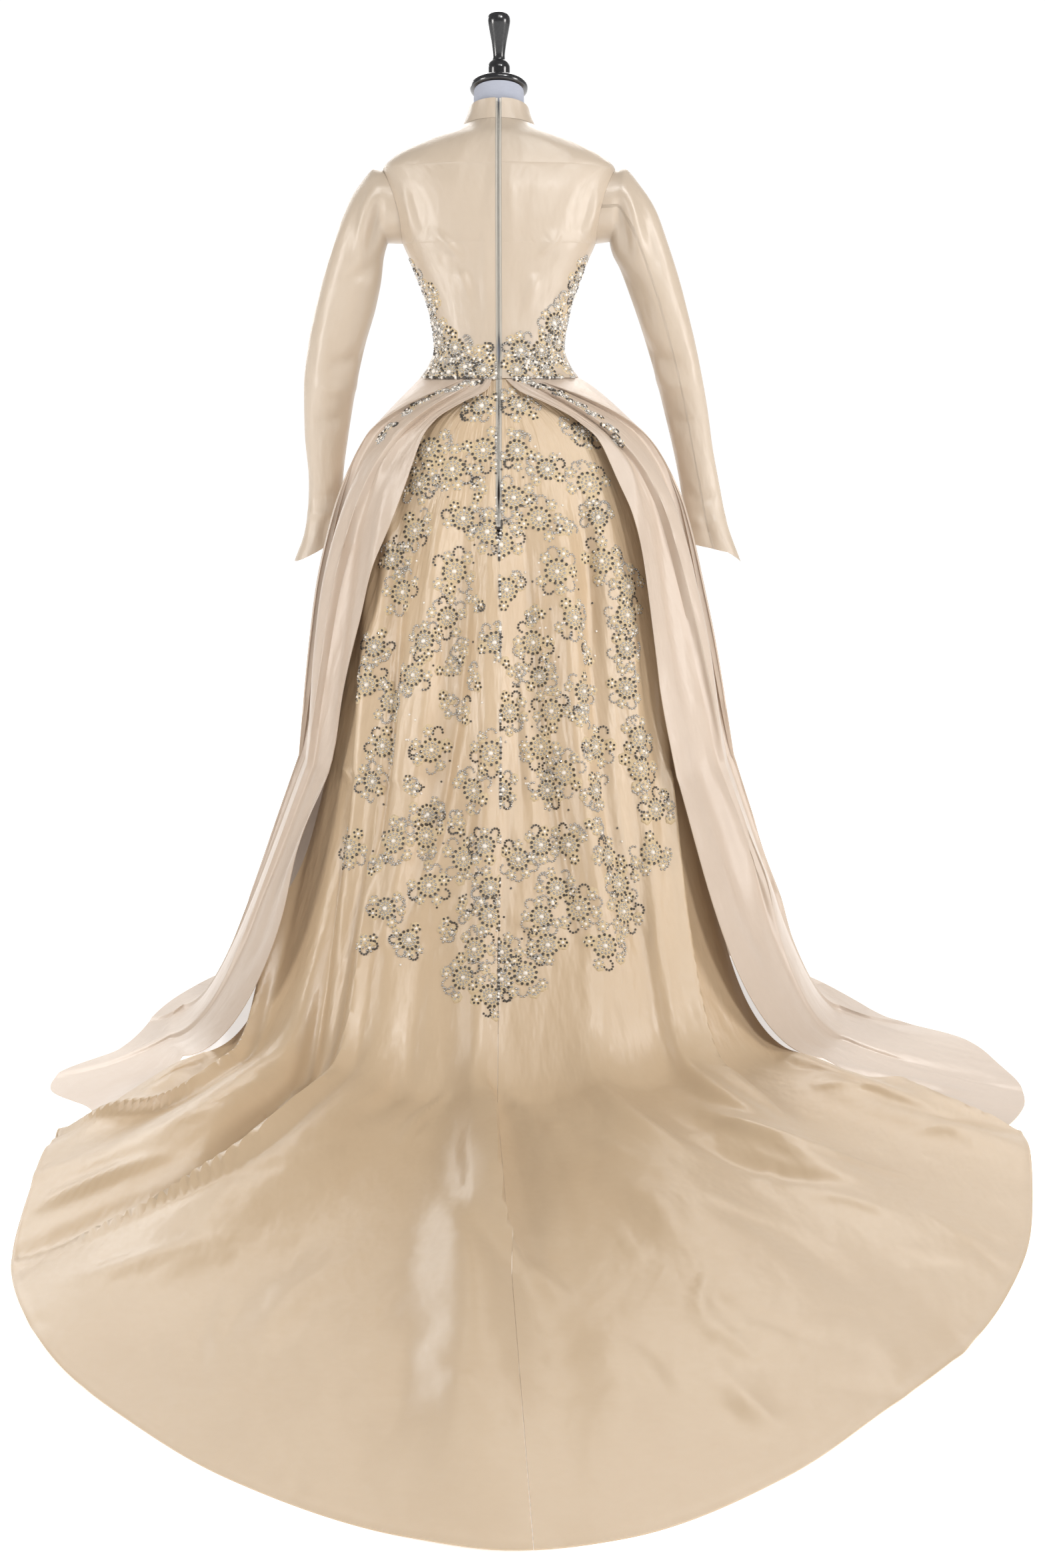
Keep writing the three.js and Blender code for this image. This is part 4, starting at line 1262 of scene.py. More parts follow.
@dataclass
class Overskirt:
    """Half of the overskirt: two tucks sweep from the zip over the hip, and the hem trails."""

    side: int
    creases: tuple = ()
    floor_creases: tuple = ()
    land: dict = field(default_factory=lambda: {
        "left": 60, "right": 59.5, "lower": 70, "upper": 86, "tuck": 5,
    })
    hem: dict = field(default_factory=lambda: {
        "left": 46.5, "right": 47, "lower": 61, "upper": 80, "tuck": 2,
    })
    sway: float = 5.8
    cut: float = 0.45
    undercut: float = 7.0
    lines: tuple = (0.3, 0.6)
    proud: tuple = (
        (0, 0.4), (0.1, 0.25), (0.2, 0.1), (0.28, 0), (0.31, 1), (0.4, 0.65), (0.5, 0.25),
        (0.58, 0), (0.61, 1), (0.7, 0.75), (0.8, 0.4), (0.9, 0.12), (1, 0),
    )
    cloth: Cloth | None = None

    @property
    def name(self) -> str:
        """The half's side in a word."""
        return "left" if self.side < 0 else "right"

    def across(self) -> Array:
        """Places across the half, closer together at the tucks' edges.

        Returns:
            Places from 0 at the free edge to 1 at the side seam.
        """
        stops = (0, 0.04, 0.27, 0.315, 0.57, 0.615, 1.0)
        counts = (5, 18, 12, 20, 12, 22)
        spans = zip(stops, stops[1:], counts)
        parts = [np.linspace(start, end, count + 1)[:-1] for start, end, count in spans]
        return np.concatenate(parts + [np.array([1.0])])

    def angles(self, edge: Array, lower: Array, upper: Array, seam: Array) -> Array:
        """Angles in degrees of every place across, from those of the edge, tucks and side seam.

        Args:
            edge: Angle of the free edge.
            lower: Angle of the lower tuck.
            upper: Angle of the upper tuck.
            seam: Angle of the side seam.

        Returns:
            One row of angles for each row given.
        """
        across = self.across()[None]
        low, high = self.lines
        angle = edge + (lower - edge) * np.clip(across / low, 0, 1)
        angle = angle + (upper - lower) * np.clip((across - low) / (high - low), 0, 1)
        return angle + (seam - upper) * np.clip((across - high) / (1 - high), 0, 1)

    def fall(self) -> Fall:
        """The strands of this half.

        Returns:
            The strands.
        """
        land_name, hem_name = f"{self.name}_land", f"{self.name}_hem"
        ends = []
        for stops, name in ((self.land, land_name), (self.hem, hem_name)):
            seam = SIDE_SEAM - seam_turn(SKIRT_FLOOR(name, SIDE_SEAM))
            angle = self.angles(stops[self.name], stops["lower"], stops["upper"], seam)[0]
            ends.append((angle, SKIRT_FLOOR(name, angle)))
        (land_angle, land_reach), (hem_angle, hem_reach) = ends

        def angle_at(z: Array) -> Array:
            """Angles in radians at each level.

            Args:
                z: Levels.

            Returns:
                One row of angles for each level.
            """
            seam = SIDE_SEAM - seam_turn(SKIRT("half", z))
            stops = [OVERSKIRT(name, z) for name in (self.name, "lower", "upper")]
            return np.radians(self.side * self.angles(*stops, seam))

        def floor_at(share: Array) -> Array:
            """Points that lie on the floor."""
            turn = mix(land_angle, hem_angle, 1 - (1 - share) ** 2.5)
            return on_floor(np.radians(self.side * turn), mix(land_reach, hem_reach, share), CLOTH)

        landing = on_floor(np.radians(self.side * land_angle), land_reach, CLOTH)
        return Fall(angle_at, lambda z: 0 * z, 0.32, landing, floor_at)

    def tuck_at(self, along: Array) -> Array:
        """How far a tuck stands out on the way down.

        Args:
            along: Rows.

        Returns:
            One distance for each row.
        """
        falls = OVERSKIRT("tuck", mix(SKIRT_TOP, KNEE, np.clip(along, 0, 1)))
        lands = mix(OVERSKIRT("tuck", KNEE), self.land["tuck"], np.clip(along - 1, 0, 1))
        lies = mix(self.land["tuck"], self.hem["tuck"], np.clip(along - 2, 0, 1))
        return np.where(along <= 1, falls, np.where(along <= 2, lands, lies))

    def undercuts(self, points: Array, along: Array) -> Array:
        """Draws the cloth below each tuck's edge in under it, so that the edge hangs over.

        Args:
            points: The half's points.
            along: Rows.

        Returns:
            The moved points.
        """
        across, moved = self.across(), points.copy()
        deep = self.undercut * ease(along / 0.05) * (1 - ease((along - 1.3) / 0.7))
        for line in self.lines:
            share = np.clip((across - (line - 0.03)) / 0.045, 0, 1)
            pull = np.sin(np.pi * share) ** 2
            step = np.gradient(points, axis=1)
            step = step / np.maximum(np.linalg.norm(step, axis=-1, keepdims=True), 1e-9)
            moved = moved + step * (deep[:, None] * pull[None])[..., None]
        return moved

    def build(self) -> None:
        """Builds and dresses this half."""
        along = rows_down(84, 40, 34)
        across = self.across()
        lift = Line(*zip(*self.proud))(across)
        points = self.fall().points(along, self.tuck_at(along)[:, None] * lift[None])
        points = self.undercuts(points, along)
        turn = -self.side * math.radians(self.sway) * np.sin(np.pi * np.clip(along - 1, 0, 1))
        turn = turn[:, None] * (1 - across[None]) ** 3
        x, y, z = np.moveaxis(points, -1, 0)
        swayed_x = x * np.cos(turn) - y * np.sin(turn)
        swayed_y = x * np.sin(turn) + y * np.cos(turn)
        points = np.stack([swayed_x, swayed_y, z], -1)
        self.cloth = Cloth(points[:, ::-1] if self.side < 0 else points)
        for side in (Side.BACK, Side.LEFT if self.side < 0 else Side.RIGHT):
            self.cloth.crease(side, [crease for where, crease in self.creases if where is side])
        self.cloth.crease(Side.TOP, self.floor_creases)
        self.cloth.points[..., 2] = np.maximum(self.cloth.points[..., 2], CLOTH)
        node = f"overskirt_{self.name}"
        piece = add_piece(self.cloth.shell(f"{node}_satin"), OVER_SATIN, [node])


@dataclass
class FrontSkirt:
    """The front of the skirt, from the right side seam round to the left, in soft flutes."""

    columns: int = 126
    flutes: int = 6
    knee: float = 9.0
    floor: float = 12.0
    creases: tuple = (
        Crease(((-60, 1000), (-80, 900), (-96, 760)), 4, 18),
        Crease(((40, 1004), (56, 880), (60, 720)), 4, 20),
        Crease(((-10, 990), (-16, 860), (-14, 640)), -4, 22),
        Crease(((110, 960), (150, 800), (176, 560)), -5, 24),
        Crease(((-120, 960), (-168, 780), (-190, 540)), -5, 24),
        Crease(((10, 520), (20, 330), (24, 130)), 6, 26),
        Crease(((-110, 560), (-134, 330), (-150, 120)), 6, 30),
        Crease(((160, 480), (190, 300), (210, 110)), 6, 28),
        Crease(((-60, 380), (-68, 240), (-80, 90)), -6, 24),
        Crease(((84, 420), (96, 260), (104, 80)), -6, 22),
    )

    def build(self) -> None:
        """Builds and dresses the front."""
        along = rows_down(60, 36, 8)
        share = np.linspace(0, 1, self.columns + 1)[None]
        right = share < 0.5

        def turn_at(radius: Array) -> Array:
            """Angles in degrees of every place across."""
            start = SIDE_SEAM + seam_turn(radius)
            return mix(start, 360 - start, share)

        def reach_at(end: str, turn: Array) -> Array:
            """Reaches from the pole, where the cloth lands or at its hem."""
            return np.where(right, SKIRT_FLOOR(f"right_{end}", turn), SKIRT_FLOOR(f"left_{end}", turn))

        reaches = []
        for end in ("land", "hem"):
            turn = turn_at(reach_at(end, SIDE_SEAM))
            reaches.append(reach_at(end, np.minimum(turn, 360 - turn)))
        land, hem = reaches
        angle = np.radians(turn_at(reach_at("land", SIDE_SEAM)))
        strands = Fall(
            lambda z: np.radians(turn_at(SKIRT("half", z))),
            lambda z: 0 * z,
            0.32,
            on_floor(angle, land, CLOTH)[0],
            lambda way: on_floor(angle, mix(land, hem, way), CLOTH),
        )
        wave = (1 - np.cos(math.tau * self.flutes * share)) / 2
        deep = np.where(along < 1, self.knee * ease(along), mix(self.knee, self.floor, along - 1))
        settle = np.where(along > 2, 3 - along, 1)
        rise = wave * (np.minimum(deep, self.floor) * settle)[:, None]
        cloth = Cloth(strands.points(along, rise))
        cloth.crease(Side.FRONT, self.creases)
        cloth.points[..., 2] = np.maximum(cloth.points[..., 2], CLOTH)
        piece = add_piece(cloth.shell("skirt_front_satin"), OVER_SATIN, ["skirt_front"])


# Back panel: how far it hangs inside the outer skirt by level, and the train's hem on the floor by angle
PANEL_INSET = Table(
    "z inset", (1019, 3), (1004, 8), (974, 14), (912, 19), (818, 24), (600, 28), (420, 30),
)
TRAIN_HEM = Table(
    "angle reach",
    (-43.8, 871), (-35.3, 1027), (-27.7, 1216), (-20.5, 1365), (-14.7, 1460), (-9.3, 1550),
    (-2.4, 1638), (0.7, 1660), (4.5, 1642), (10.8, 1557), (15.9, 1468), (21.7, 1377),
    (29.9, 1242), (39.5, 1086), (49.1, 958),
)


@dataclass(frozen=True)
class PanelFold:
    """A fold of the back panel: its place across and its rise at the hip, knee, floor, train and hem."""

    places: tuple[float, ...]
    wide: float
    rises: tuple[float, ...]

    def rise(self, across: Array, along: Array) -> Array:
        """How far the fold stands out at each place.

        Args:
            across: Places across the panel.
            along: Rows.

        Returns:
            One distance for each row and place.
        """
        stages = (0, 0.33, 1, 2, 2.3, 3)
        place = Line(stages, (self.places[0], *self.places))(along)[:, None]
        rise = Line(stages, (0, *self.rises))(along)[:, None]
        return rise * np.exp(-((across[None] - place) / self.wide) ** 2)


PANEL_FOLDS = (
    PanelFold((-0.92, -0.94, -0.97, -0.94, -0.92), 0.07, (0, 6, 12, 32, 10)),
    PanelFold((-0.74, -0.72, -0.7, -0.68, -0.82), 0.1, (4, 16, 38, 46, 14)),
    PanelFold((-0.4, -0.45, -0.4, -0.43, -0.56), 0.11, (6, 20, 34, 40, 10)),
    PanelFold((-0.06, -0.07, -0.07, -0.06, -0.04), 0.055, (4, 16, 26, 34, 3)),
    PanelFold((0.34, 0.42, 0.3, 0.3, 0.34), 0.12, (6, 18, 24, 20, 6)),
    PanelFold((0.7, 0.66, 0.57, 0.55, 0.6), 0.09, (4, 16, 38, 32, 6)),
    PanelFold((0.92, 0.94, 0.95, 0.9, 0.92), 0.07, (0, 6, 12, 34, 12)),
)


@dataclass
class BackPanel:
    """Half of the embroidered back panel and of the train that it runs out into."""

    side: int
    columns: int = 104
    overlap: float = 12.0
    top_edge: float = 30.0
    centre_reach: float = 510.0
    edge_reach: float = 540.0
    land: tuple = (56.8, 0.0, 57.2)
    hem: tuple = (43.8, 1.6, 49.1)
    lift: float = 5.0
    creases: tuple = ()
    floor_creases: tuple = ()
    cloth: Cloth | None = None

    @property
    def name(self) -> str:
        """The half's side in a word."""
        return "left" if self.side < 0 else "right"

    def lies_at(self, across: Array) -> Array:
        """Height at which each place across lies: the outer part lies on the overskirt's edge."""
        return TRAIN_CLOTH + self.lift * ease((np.abs(across) - 0.65) / 0.15)

    def fall(self, across: Array) -> Fall:
        """The strands at places across the panel: -1 left edge, 0 centre-back seam, 1 right edge.

        Args:
            across: The places.

        Returns:
            The strands.
        """
        share = np.abs(across)
        land_angle = np.radians(mix(self.land[1], self.side * self.land[1 + self.side], share))
        hem_degrees = mix(self.hem[1], self.side * self.hem[1 + self.side], share)
        lift = self.lies_at(across)
        landing = on_floor(land_angle, mix(self.centre_reach, self.edge_reach, share), lift)
        hem = on_floor(np.radians(hem_degrees), TRAIN_HEM("reach", hem_degrees), lift)

        def angle_at(z: Array) -> Array:
            """Angles in radians at each level.

            Args:
                z: Levels.

            Returns:
                One row of angles for each level.
            """
            edge = np.maximum(self.top_edge, OVERSKIRT(self.name, z) + self.overlap)
            seam = np.arcsin(-SKIRT("lean", z) / SKIRT("half", z))
            return mix(seam, np.radians(self.side * edge), share[None])

        def floor_at(way: Array) -> Array:
            """Points that lie on the floor."""
            return mix(landing[None], hem[None], way[..., None])

        return Fall(angle_at, lambda z: PANEL_INSET("inset", z), 0.2, landing, floor_at)

    def grid(self, across: Array, along: Array, side: int) -> Array:
        """Points of the panel; beside the zip its edge stands clear of the tape.

        Args:
            across: Places across the panel.
            along: Rows.
            side: -1 left of the zip, +1 right of it, 0 on its middle line.

        Returns:
            The grid of points.
        """
        rise = sum(fold.rise(across, along) for fold in PANEL_FOLDS)
        points = self.fall(across).points(along, rise)
        middle_rise = sum(fold.rise(np.zeros(1), along) for fold in PANEL_FOLDS)
        middle = self.fall(np.zeros(1)).points(along, middle_rise)[..., 0]
        middle = np.where(along[:, None] > 2, 0, middle)
        opening = mix(SEAM, ZIP_HALF, np.clip((points[..., 2] - ZIP_END + 25) / 25, 0, 1))
        points[..., 0] += (side * opening - middle) * np.maximum(0, 1 - np.abs(across) * 8)
        return points

    def build(self) -> None:
        """Builds and dresses this half."""
        share = np.linspace(0, 1, self.columns + 1)
        across = share - 1 if self.side < 0 else share
        along = rows_down(96, 56, 88)
        self.cloth = Cloth(self.grid(across, along, self.side))
        self.cloth.crease(Side.BACK, self.creases)
        self.cloth.crease(Side.TOP, self.floor_creases)
        hem = 1.4 * np.exp(-((3 - along) * 1000 - 7) ** 2 / 30)[:, None]
        self.cloth.raise_by(hem * np.ones_like(across))
        self.cloth.points[..., 2] = np.maximum(self.cloth.points[..., 2], self.lies_at(across))
        node = f"train_{self.name}"
        piece = add_piece(self.cloth.shell(f"{node}_satin", TRAIN_CLOTH), SATIN, [node])


def train_creases() -> tuple[Crease, ...]:
    """The creases of the train, seen from above.

    Returns:
        The long creases, then the small ones.
    """
    main = (
        Crease(((-391, 0), (-481, -131), (-559, -342), (-603, -622)), 18, 16, 0.45),
        Crease(((-330, -60), (-410, -260), (-490, -450), (-585, -640)), -14, 22),
        Crease(((-290, -60), (-351, -198), (-425, -470), (-594, -636)), 26, 17, 0.45),
        Crease(((-215, -90), (-254, -220), (-290, -470), (-333, -622), (-396, -859), (-560, -1020)),
               -22, 20, 0.5),
        Crease(((-151, -48), (-239, -489), (-333, -802), (-495, -990)), 26, 18, 0.45),
        Crease(((-120, -330), (-150, -500), (-200, -640)), -9, 18),
        Crease(((-70, -470), (-110, -560), (-130, -660)), 8, 12, 0.5),
        Crease(((-10, -480), (-10, -576), (-7, -748), (3, -901), (37, -1069)), 24, 14, 0.45),
        Crease(((-50, -500), (-60, -700), (-40, -900), (0, -1040)), -10, 24),
        Crease(((40, -560), (60, -760), (70, -940), (80, -1060)), -10, 22),
        Crease(((40, -1050), (64, -1090), (80, -1150)), 6, 16),
        Crease(((240, -40), (279, -261), (334, -441), (400, -560)), 24, 16, 0.45),
        Crease(((200, -120), (230, -330), (290, -520), (380, -640)), -13, 20),
        Crease(((400, -60), (516, -261), (621, -523), (725, -610)), 18, 16, 0.45),
        Crease(((350, -160), (450, -360), (560, -540), (680, -640)), -14, 22),
        Crease(((130, -420), (190, -600), (280, -740)), 10, 24, 0.6),
        Crease(((260, -660), (360, -780), (470, -850)), -7, 18),
        Crease(((300, -600), (420, -720), (540, -780)), 7, 15, 0.6),
        Crease(((130, -760), (200, -880), (230, -1000)), 6, 26),
        Crease(((300, -900), (380, -1010), (420, -1130)), -5, 26),
        Crease(((-430, -760), (-510, -840), (-570, -900)), 8, 14, 0.6),
        Crease(((-380, -820), (-470, -900), (-540, -980)), -7, 13),
        Crease(((-160, -1000), (-230, -1130), (-260, -1250)), 5, 30),
        Crease(((-60, -1180), (-90, -1300), (-80, -1420)), -5, 32),
        Crease(((120, -1180), (140, -1330), (120, -1470)), 5, 34),
        Crease(((-330, -1010), (-420, -1080), (-480, -1120)), 6, 18),
    )
    draw = np.random.default_rng(SEED)
    small = []
    for _ in range(110):
        x = draw.uniform(-620, 640)
        y = draw.uniform(-1420, -420)
        way = math.atan2(x, -y) * 1.2 + draw.normal(0, 0.5)
        length, bend = draw.uniform(40, 130), draw.normal(0, 10)
        step = np.array([math.sin(way), -math.cos(way)]) * length / 2
        turned_step = np.array([-step[1], step[0]]) / length * bend
        places = (np.array([x, y]) - step, np.array([x, y]) + turned_step, np.array([x, y]) + step)
        small.append(Crease(tuple(tuple(p) for p in places), draw.normal(0, 2.4), draw.uniform(7, 15)))
    return main + tuple(small)


PANEL_CREASES = (
    Crease(((-120, 840), (-150, 700), (-165, 560), (-188, 325), (-215, 190)), -14, 17, 0.6),
    Crease(((-44, 800), (-50, 700), (-60, 560), (-103, 325), (-150, 200)), -14, 19, 0.6),
    Crease(((42, 800), (50, 700), (60, 560), (92, 325), (120, 190)), -14, 19, 0.6),
    Crease(((122, 840), (140, 740), (150, 560), (177, 325), (215, 190)), -14, 17, 0.6),
    Crease(((-84, 840), (-98, 740), (-110, 560), (-140, 325), (-180, 200)), 10, 15),
    Crease(((2, 760), (2, 700), (0, 500), (-8, 300), (-20, 150)), 9, 16),
    Crease(((88, 840), (102, 740), (112, 560), (140, 325), (170, 200)), 10, 15),
    Crease(((185, 760), (197, 700), (205, 560), (222, 325)), 7, 12),
    Crease(((-186, 760), (-200, 700), (-210, 540), (-230, 325)), 7, 12),
    Crease(((-96, 300), (-150, 240), (-190, 180)), 6, 12),
    Crease(((-40, 260), (-80, 230), (-104, 214)), 5, 9),
    Crease(((-60, 210), (-100, 186), (-120, 180)), -5, 9),
    Crease(((10, 240), (50, 222), (80, 220)), 4, 9),
    Crease(((-70, 700), (-82, 610), (-84, 520)), -5, 9),
    Crease(((76, 690), (80, 600), (88, 500)), -5, 9),
    Crease(((24, 620), (30, 480), (40, 360)), -6, 10),
    Crease(((-30, 560), (-36, 430), (-60, 300)), -6, 11),
)

OVERSKIRT_CREASES_LEFT = (
    (Side.BACK, Crease(((-170, 880), (-190, 720), (-206, 560)), 9.5, 12)),
    (Side.BACK, Crease(((-220, 820), (-244, 640), (-268, 470)), -9.5, 12)),
    (Side.BACK, Crease(((-130, 945), (-168, 900), (-196, 830)), 7.6, 9, 0.6)),
    (Side.BACK, Crease(((-270, 420), (-310, 300), (-370, 180)), 11.4, 16)),
    (Side.LEFT, Crease(((-60, 900), (-72, 700), (-84, 480)), 9.5, 16)),
    (Side.LEFT, Crease(((-10, 860), (-14, 660), (-16, 440)), -9.5, 16)),
    (Side.LEFT, Crease(((-120, 520), (-160, 320), (-210, 140)), -11.4, 18)),
)
OVERSKIRT_CREASES_RIGHT = (
    (Side.BACK, Crease(((190, 900), (214, 740), (232, 580)), 9.5, 12)),
    (Side.BACK, Crease(((244, 830), (272, 650), (300, 480)), -9.5, 12)),
    (Side.BACK, Crease(((148, 946), (190, 890), (222, 800)), 7.6, 9, 0.6)),
    (Side.BACK, Crease(((330, 420), (390, 280), (470, 150)), 11.4, 16)),
    (Side.RIGHT, Crease(((-64, 900), (-76, 690), (-90, 470)), 9.5, 16)),
    (Side.RIGHT, Crease(((-16, 850), (-18, 640), (-20, 430)), -9.5, 17)),
    (Side.RIGHT, Crease(((-130, 500), (-170, 300), (-220, 140)), -11.4, 18)),
)
WING_CREASES = (
    Crease(((-420, -330), (-520, -420), (-560, -520)), 6, 16),
    Crease(((-480, -300), (-580, -400), (-620, -480)), -6, 14),
    Crease(((470, -300), (590, -390), (680, -440)), 6, 18),
    Crease(((520, -240), (640, -330), (740, -400)), -6, 16),
    Crease(((560, -420), (660, -480), (700, -560)), 4.5, 12),
)


@dataclass
class Zip:
    """The back zip: two tapes in the opening and a chain of metal teeth down the middle."""

    bodice: Bodice
    panel: BackPanel
    pitch: float = 2.6
    tooth: tuple = (1.1, 1.0, 0.55)
    proud: float = 0.5
    parted: tuple = ((1428, 1.2), (1062, 2.2), (976, 0.9), (850, 1.9))
    part_high: float = 20.0

    def centre_back(self, z: Array) -> Array:
        """Points of the centre-back line at each level.

        Args:
            z: Levels.

        Returns:
            One point for each level.
        """
        points = np.zeros((len(z), 3))
        zero = np.zeros(1)
        for i, level in enumerate(z):
            if level > NECKLINE:
                points[i] = body_points(COLLAR, np.array([level]), zero)[0]
            elif level >= WAIST:
                points[i] = body_points(TORSO, np.array([level]), zero)[0]
        low = z < WAIST
        along = (SKIRT_TOP - z[low]) / (SKIRT_TOP - KNEE)
        points[low] = self.panel.grid(zero, np.maximum(along, 0), 0)[:, 0]
        return points

    def gap(self, z: Array) -> Array:
        """How far each tape draws back from the middle where the zip gapes."""
        gapes = (wide * np.exp(-((z - level) / self.part_high) ** 2) for level, wide in self.parted)
        return SEAM / 2 + sum(gapes)

    def build(self) -> None:
        """Builds and dresses the tapes and the teeth."""
        z = np.linspace(ZIP_TOP, ZIP_END + SEAM, 170)
        middle = self.centre_back(z)
        for side, name in ((-1, "left"), (1, "right")):
            share = np.linspace(0, 1, 5)[None]
            inner, outer = self.gap(z)[:, None], ZIP_HALF - SEAM
            out = mix(inner, outer, share)
            grid = np.stack(np.broadcast_arrays(side * out, middle[:, None, 1], middle[:, None, 2]), -1)
            cloth = Cloth(grid[:, ::-1] if side < 0 else grid)
            shell = cloth.shell(f"zip_tape_{name}_weave")
            piece = add_piece(shell, TAPE, [f"zip_tape_{name}"])
        self.build_teeth()

    def build_teeth(self) -> None:
        """Builds the two rows of teeth as one piece."""
        z = np.arange(ZIP_TOP - 6, ZIP_END + 4, -self.pitch / 2)
        middle = self.centre_back(z)
        side = np.where(np.arange(len(z)) % 2 == 0, -1.0, 1.0)
        middle[:, 0] = side * (self.gap(z) + self.proud)
        middle[:, 1] -= self.proud
        corners = np.array([[i, j, k] for i in (-1, 1) for j in (-1, 1) for k in (-1, 1)], float)
        corners = corners * np.array(self.tooth)
        ends = [[0, 1, 3, 2], [4, 6, 7, 5]]
        sides = [[0, 4, 5, 1], [2, 3, 7, 6], [0, 2, 6, 4], [1, 5, 7, 3]]
        quads = np.array(ends + sides)
        points = (middle[:, None] + corners[None]).reshape(-1, 3)
        faces = (quads[None] + 8 * np.arange(len(z))[:, None, None]).reshape(-1, 4)
        add_piece(mesh_object("zip_teeth", points, faces, 30), NICKEL)


class Trim(Enum):
    """The kinds of small trim in the embroidery, each with its finish and its corners across and up."""

    STONE = (STONE, 6, 1)
    CRYSTAL = (CRYSTAL, 6, 1)
    PEARL = (PEARL, 8, 2)

    def template(self) -> tuple[Array, list[list[int]]]:
        """Points and faces of one unit bead that sits on the cloth.

        Returns:
            The points and the faces; a three-cornered face gives its last corner twice.
        """
        _, sides, rings = self.value
        rise = np.linspace(-0.35, 1, rings + 2)[:-1] * math.pi / 2
        angle = np.linspace(0, math.tau, sides, endpoint=False)
        flat = np.cos(rise)[:, None], np.sin(rise)[:, None]
        x, y, z = np.broadcast_arrays(flat[0] * np.cos(angle), flat[0] * np.sin(angle), flat[1])
        points = np.stack([x, y, z], -1).reshape(-1, 3)
        points = np.concatenate([points, [[0, 0, 1.0]]])
        faces = []
        for ring in range(rings):
            for c in range(sides):
                a, b = ring * sides + c, ring * sides + (c + 1) % sides
                faces.append([a, b, b + sides, a + sides])
        top = len(points) - 1
        faces += [[rings * sides + c, rings * sides + (c + 1) % sides, top, top] for c in range(sides)]
        return points, faces


@dataclass
class Beads:
    """Beads sewn to cloth, gathered by kind and built as one joined mesh each."""

    name: str
    places: dict = field(default_factory=dict)
    lace: list = field(default_factory=list)

    def sew(self, cloth: Cloth, row: Array, column: Array, kind: Trim, size: float) -> None:
        """Sews beads of one kind at places on a cloth.

        Args:
            cloth: The cloth.
            row: Rows, with parts of a row.
            column: Columns, with parts of a column.
            kind: The kind of bead.
            size: A bead's radius.
        """
        point, normal = cloth.at(row, column)
        for p, n in zip(point, normal):
            self.places.setdefault(kind, []).append((p, n, size))

    def build(self, slot: str) -> None:
        """Builds one joined mesh for each kind of bead and one for the lace.

        Args:
            slot: Not used.
        """
        for kind, rows in self.places.items():
            template, faces = kind.template()
            centre = np.array([row[0] for row in rows])
            normal = np.array([row[1] for row in rows])
            size = np.array([row[2] for row in rows])
            helper = np.where(np.abs(normal[:, 2:]) < 0.9, [[0, 0, 1.0]], [[1.0, 0, 0]])
            first = np.cross(helper, normal)
            first = first / np.linalg.norm(first, axis=-1, keepdims=True)
            second = np.cross(normal, first)
            frames = np.stack([first, second, normal], 1)
            points = centre[:, None] + size[:, None, None] * np.einsum("vk,nkj->nvj", template, frames)
            quads = np.array([face for face in faces if face[2] != face[3]])
            tris = np.array([face[:3] for face in faces if face[2] == face[3]])
            shift = len(template) * np.arange(len(rows))[:, None, None]
            corners = (quads[None] + shift).reshape(-1, 4).tolist()
            corners += (tris[None] + shift).reshape(-1, 3).tolist()
            name = f"{self.name}_{kind.name.lower()}"
            round_bead = kind is not Trim.STONE
            piece = mesh_object(name, points.reshape(-1, 3), corners, 180.0, round_bead)
            add_piece(piece, kind.value[0])
        if self.lace:
            self.build_lace()

    def build_lace(self) -> None:
        """Builds the scalloped lace patches as one joined mesh.
        """
        points = np.concatenate([patch[0] for patch in self.lace])
        faces, start = [], 0
        for patch, corners in self.lace:
            faces.append(corners + start)
            start += len(patch)
        add_piece(mesh_object(f"{self.name}_lace", points, np.concatenate(faces), 80), LACE)

    def patch(self, cloth: Cloth, spot: Spot, radius: float, lobes: int, turn: float) -> None:
        """Lays a scalloped patch of lace on the cloth round a spot.

        Args:
            cloth: The cloth.
            spot: The patch's middle.
            radius: Its radius.
            lobes: How many scallops it has.
            turn: Where the first scallop points, in radians.
        """
        around = np.linspace(0, math.tau, 4 * lobes, endpoint=False)
        rim = radius * (0.82 + 0.18 * np.abs(np.cos(lobes * (around - turn) / 2)))
        shares = np.array([0.12, 0.5, 0.9, 1.0])
        heights = np.array([1.1, 0.9, 1.1, -0.4])
        right = (shares[:, None] * rim * np.cos(around)).ravel()
        down = (shares[:, None] * rim * np.sin(around)).ravel()
        point, normal = cloth.at(*cloth.walk(*spot, right, down))
        point = point + normal * np.repeat(heights, len(around))[:, None]
        index = np.arange(len(point)).reshape(len(shares), len(around))
        index = np.concatenate([index, index[:, :1]], axis=1)
        self.lace.append((point, strip(index[:-1, :-1], index[:-1, 1:], index[1:, 1:], index[1:, :-1])))


